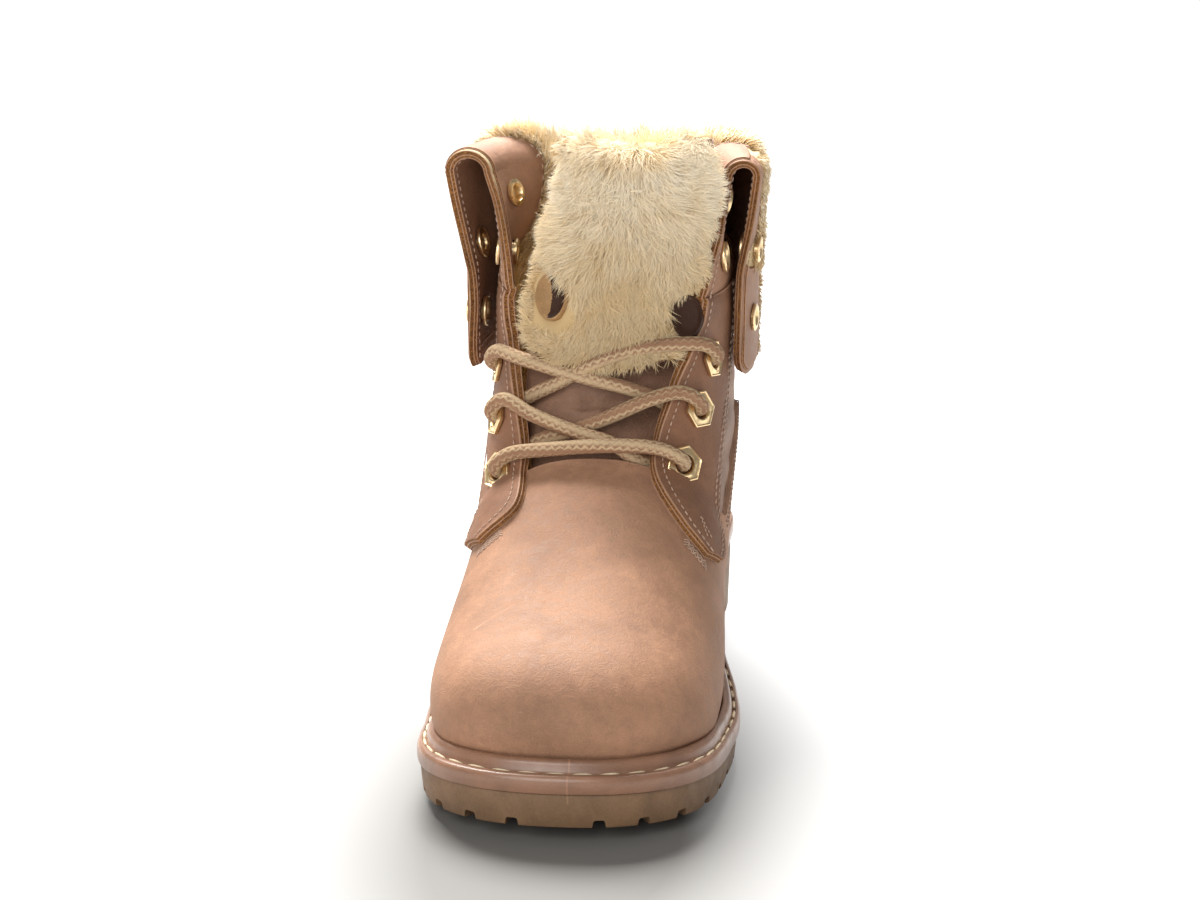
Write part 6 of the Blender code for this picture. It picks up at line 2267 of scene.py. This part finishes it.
# ---------------------------------------------------------------- sole
@dataclass
class Sole:
    """Storm welt with its bead and stitched channel, on a lugged rubber sole with a heel."""

    lug_depth: float = 2.8
    lug_pitch: float = 14.6
    groove_width: float = 5.0
    notch_at_ends: float = 13.0
    notch_at_sides: float = 21.0
    tread_end: float = 128.0
    waist_start: float = 134.0
    breast_top: float = 196.0
    heel_breast: float = 200.0
    inset: float = 1.0
    waist_rubber: float = 8.5
    bead: float = 5.0

    def channel(self, s: Array) -> Array:
        """Margin of the middle of the stitched channel."""
        return self.bead + 0.75 + 0.16 * (LAST.margin(s) - 7.2)

    def welt(self) -> None:
        """Welt: midsole plate, rounded lip, channel and bead."""
        edge, channel, feather, bead = LAST.margin, self.channel, lambda s: s * 0, self.bead
        profile = [
            (edge, -0.9, -5.8), (edge, -0.2, -5.6), (edge, 0, -5), (edge, 0.12, -3.4), (edge, 0.05, -1.7),
            (edge, -0.3, -0.7), (edge, -0.9, -0.1), (edge, -1.5, 0.12), (channel, 0.75, 0),
            (channel, 0.4, -0.55), (channel, 0, -0.75), (channel, -0.4, -0.55), (feather, bead + 0.1, 0.6),
            (feather, bead - 0.1, 2.1), (feather, bead - 0.7, 3.2), (feather, bead - 1.7, 3.75),
            (feather, bead - 2.8, 3.6), (feather, 1.2, 1.7), (feather, 0.7, 0.8), (feather, -0.2, 0.3),
            (feather, -8.5, 0)]
        stations = LAST.stations(30, 120, 30)
        rings = [LAST.ring(stations, lambda s, m=line, o=out: m(s) + o,
                           lambda s, h=height: LAST.welt_top(s) + h)
                 for line, out, height in profile]
        net = np.array(rings)
        wave = 0.1 * drift(net, 30, 71) + 0.05 * drift(net, 6, 72)
        net[2:-2, :, 2] += wave[2:-2]
        draft = Draft()
        draft.net(net, closed=True, flip=True)
        self._closed(draft, net[0], net[-1])
        settle(draft.make("welt_strip", Finish.WELT), Finish.WELT, "welt")
        seam = Stitching("welt_stitches", Finish.WELT_THREAD, pitch=8.4, length=7.2, thickness=1.15)
        line = LAST.ring(LAST.stations(60, 200, 60), self.channel, lambda s: LAST.welt_top(s) - 0.35)
        line = np.vstack([line, line[:1]])
        seam.sew(line, np.tile((0.0, 0.0, 1.0), (len(line), 1)))
        seam.build()

    @staticmethod
    def _closed(draft: Draft, bottom: Array, top: Array) -> None:
        """Close the first and the last ring with strips across the boot."""
        half = len(bottom) // 2
        for ring, flip in ((bottom, False), (top, True)):
            pairs = np.array([[ring[k], ring[(len(ring) - k) % len(ring)]] for k in range(half + 1)])
            draft.net(pairs, flip=flip)

    def bottom(self, s: Array) -> Array:
        """Height of the underside: tread, waist and heel."""
        waist = LAST.welt_top(s) - LAST.welt_thickness - 0.3 - self.waist_rubber
        into = np.clip((s - self.tread_end) / (self.waist_start - self.tread_end), 0, 1)
        out = np.clip((self.heel_breast - s) / (self.heel_breast - self.breast_top), 0, 1)
        spring = LAST.spring(s)
        return np.where(s < self.waist_start, spring + (waist - spring) * into, waist * out)

    def _groove(self, draft: Draft, centre: Array, heading: Array, length: float, width: float,
                height: float) -> None:
        """Add one groove's cutter: a bar with leaning sides."""
        heading = unit(np.array(heading, float))
        side = np.array([-heading[1], heading[0]])
        rings = []
        for z, share in ((-2.0, 1.35), (height - 0.5, 0.74), (height, 0.5)):
            ring = [np.array(centre) + heading * (length if a else 0) + side * b * share * width / 2
                    for a, b in ((0, -1), (1, -1), (1, 1), (0, 1))]
            rings.append([(p[0], p[1], z) for p in ring])
        net = np.array(rings)
        draft.net(net, closed=True)
        draft.add(net[0], np.array([[3, 2, 1, 0]]))
        draft.add(net[-1], np.array([[0, 1, 2, 3]]))

    def _cutters(self) -> Piece:
        """Cutters of every notch and chevron."""
        draft = Draft()
        fine = LAST.stations(60, 200, 60)
        for line, sign in zip(LAST.outline(fine, lambda s: LAST.margin(s) - self.inset), (-1, 1)):
            arc = lengths(line)
            count = int(arc[-1] / self.lug_pitch)
            start = (arc[-1] - (count - 1) * self.lug_pitch) / 2
            for k in range(count):
                at = start + k * self.lug_pitch
                spot = np.array([np.interp(at, arc, line[:, i]) for i in range(2)])
                ahead = np.array([np.interp(at + 1, arc, line[:, i]) for i in range(2)])
                if self.tread_end - 5 < spot[1] < self.heel_breast + 6:
                    continue
                along = unit(ahead - spot)
                inward = np.array([along[1], -along[0]]) * (1 if sign < 0 else -1)
                length = self.notch_at_ends if spot[1] < 32 or spot[1] > 244 else self.notch_at_sides
                self._groove(draft, spot - inward * 4, inward, length + 4, self.groove_width,
                             float(self.bottom(spot[1])) + self.lug_depth)
        for first, last in ((34.0, 120.0), (214.0, 250.0)):
            for k in range(int((last - first) / self.lug_pitch) + 1):
                s = first + k * self.lug_pitch
                for sign in (-1, 1):
                    self._groove(draft, np.array((-1.5 + sign * 2.6, s - 2.0)), (sign, 0.55), 15.0, 4.0,
                                 float(self.bottom(np.array(s))) + self.lug_depth)
        return draft.make("groove_cutters", Finish.CREPE)

    def outsole(self) -> None:
        """Rubber sole: side wall, notched edge, lugs and heel."""
        corners = np.array((self.tread_end, self.waist_start, self.breast_top, self.heel_breast))
        plain = LAST.stations(26, 84, 26)
        plain = plain[np.min(np.abs(plain[:, None] - corners), axis=1) > 0.8]
        stations = np.sort(np.concatenate([plain, corners]))

        def between(share: float) -> Margin:
            """Height at a share of the wall, from the tread to the welt."""
            return lambda s: (self.bottom(s) * (1 - share)
                              + (LAST.welt_top(s) - LAST.welt_thickness + 0.1) * share)

        profile = [(1.9, self.bottom), (1.0, lambda s: self.bottom(s) + 0.35),
                   (0.7, lambda s: self.bottom(s) + 1.1), (0.25, between(0.5)), (0.0, between(0.82)),
                   (0.35, between(0.96)), (1.0, between(1.0))]
        net = np.array([LAST.ring(stations, lambda s, i=inward: LAST.margin(s) - self.inset - i, height)
                        for inward, height in profile])
        draft = Draft()
        draft.net(net, closed=True, flip=True)
        self._closed(draft, net[0], net[-1])
        body = cut(draft.make("rubber_sole", Finish.CREPE), self._cutters(), math.radians(30), use_self=True)
        settle(body, Finish.CREPE, "outsole")


# ---------------------------------------------------------------- studio
@dataclass
class Studio:
    """Floor lit by painted glow away from the boot, with an unlit dark oval round the boot as painted shadow;
    soft light and the camera.
    """

    camera_place: Triple = (0.09404, -0.94695, 0.37)
    camera_turn: Triple = (73.5, 0.0, 5.55)
    lens: float = 87.0

    def _panel(self, name: str, place: Triple, aim: Triple,
               size: tuple[float, float], power: float, color: Triple) -> None:
        """Hang one soft light.

        Args:
            name: Its name.
            place: Where it hangs, in metres.
            aim: What it points at.
            size: Width and height.
            power: Watts.
            color: Its colour.
        """
        lamp = bpy.data.lights.new(name, "AREA")
        lamp.shape, lamp.size, lamp.size_y, lamp.energy, lamp.color = "RECTANGLE", *size, power, color
        holder = placed(name, lamp)
        holder.location = place
        holder.rotation_euler = (Vector(aim) - Vector(place)).to_track_quat("-Z", "Y").to_euler()

    def build(self) -> None:
        """Set the stage."""
        made, w, shader, place = shaded("pale_floor", {"Specular IOR Level": 0.2})
        wash = w.noise(place, 180, 3)
        color = w.ramp(wash, [(0.3, (0.2, 0.196, 0.188)), (0.7, (0.225, 0.22, 0.212))])
        connect(w, shader, color, w.ramp(wash, [(0.3, 0.55), (0.7, 0.7)]),
                w.bump(w.noise(place, 0.6, 3), 0.01, 0.3))
        # Painted light: the floor glows white away from the boot; the unlit oval round the boot, on the dark
        # grey floor colour, stands in for its cast shadow.
        oval = w.mapped(place, Location=(0.0, 0.09, 0.0), Scale=(1.5, 0.75, 1.0))
        glow = w.ramp(w.vector("LENGTH", oval), [(0.06, 0.0), (0.17, 1.0)])
        w.tree.links.new(w.mix(1.0, glow, (1.0, 1.0, 1.0), "MULTIPLY"), shader.inputs["Emission Color"])
        shader.inputs["Emission Strength"].default_value = 1.0
        mesh = bpy.data.meshes.new("floor")
        mesh.from_pydata([(-6, -6, 0), (6, -6, 0), (6, 6, 0), (-6, 6, 0)], [], [(0, 1, 2, 3)])
        mesh.materials.append(made)
        placed("floor", mesh)

        world = bpy.data.worlds.new("studio_air")
        world.use_nodes = True
        bpy.context.scene.world = world
        w = Wiring(world.node_tree)
        air = world.node_tree.nodes["Background"]
        air.inputs["Color"].default_value = (1.0, 0.985, 0.965, 1.0)
        air.inputs["Strength"].default_value = 0.28
        white = w.add("ShaderNodeBackground", {"Color": (1.0, 1.0, 1.0, 1.0), "Strength": 1.0})
        seen = w.add("ShaderNodeLightPath").outputs["Is Camera Ray"]
        blend = w.add("ShaderNodeMixShader", {0: seen, 1: air.outputs[0], 2: white.outputs[0]})
        world.node_tree.links.new(blend.outputs[0], world.node_tree.nodes["World Output"].inputs["Surface"])

        self._panel("overhead", (-0.22, 0.62, 1.0), (0.0, 0.0, 0.08), (0.8, 0.5), 47.0, (1.0, 0.985, 0.96))
        self._panel("front_window", (-0.25, -1.0, 0.6), (0.0, 0.0, 0.1), (0.7, 0.7), 7.2, (1.0, 0.985, 0.96))

        camera = bpy.data.cameras.new("camera")
        camera.lens, camera.sensor_width = self.lens, 36.0
        holder = placed("camera", camera)
        holder.location = self.camera_place
        holder.rotation_euler = tuple(math.radians(a) for a in self.camera_turn)
        bpy.context.scene.camera = holder
        bpy.context.scene.view_settings.view_transform = "Standard"


def main() -> None:
    """Build the boot and its stage."""
    logging.basicConfig(level=logging.INFO, format="%(name)s %(message)s")
    Studio().build()
    eyelets = Eyelets()
    Upper().build({side: [eyelets.hex_frame(side, k) for k in range(3)] for side in Side})
    Collar().build()
    Tongue().build()
    lining = Lining()
    lining.quarters()
    lining.footbed()
    eyelets.build()
    Lace().build()
    sole = Sole()
    sole.welt()
    sole.outsole()
    blade = bpy.data.objects.get("hair_blade")
    if blade:
        bpy.data.objects.remove(blade)


if __name__ == "__main__":
    main()
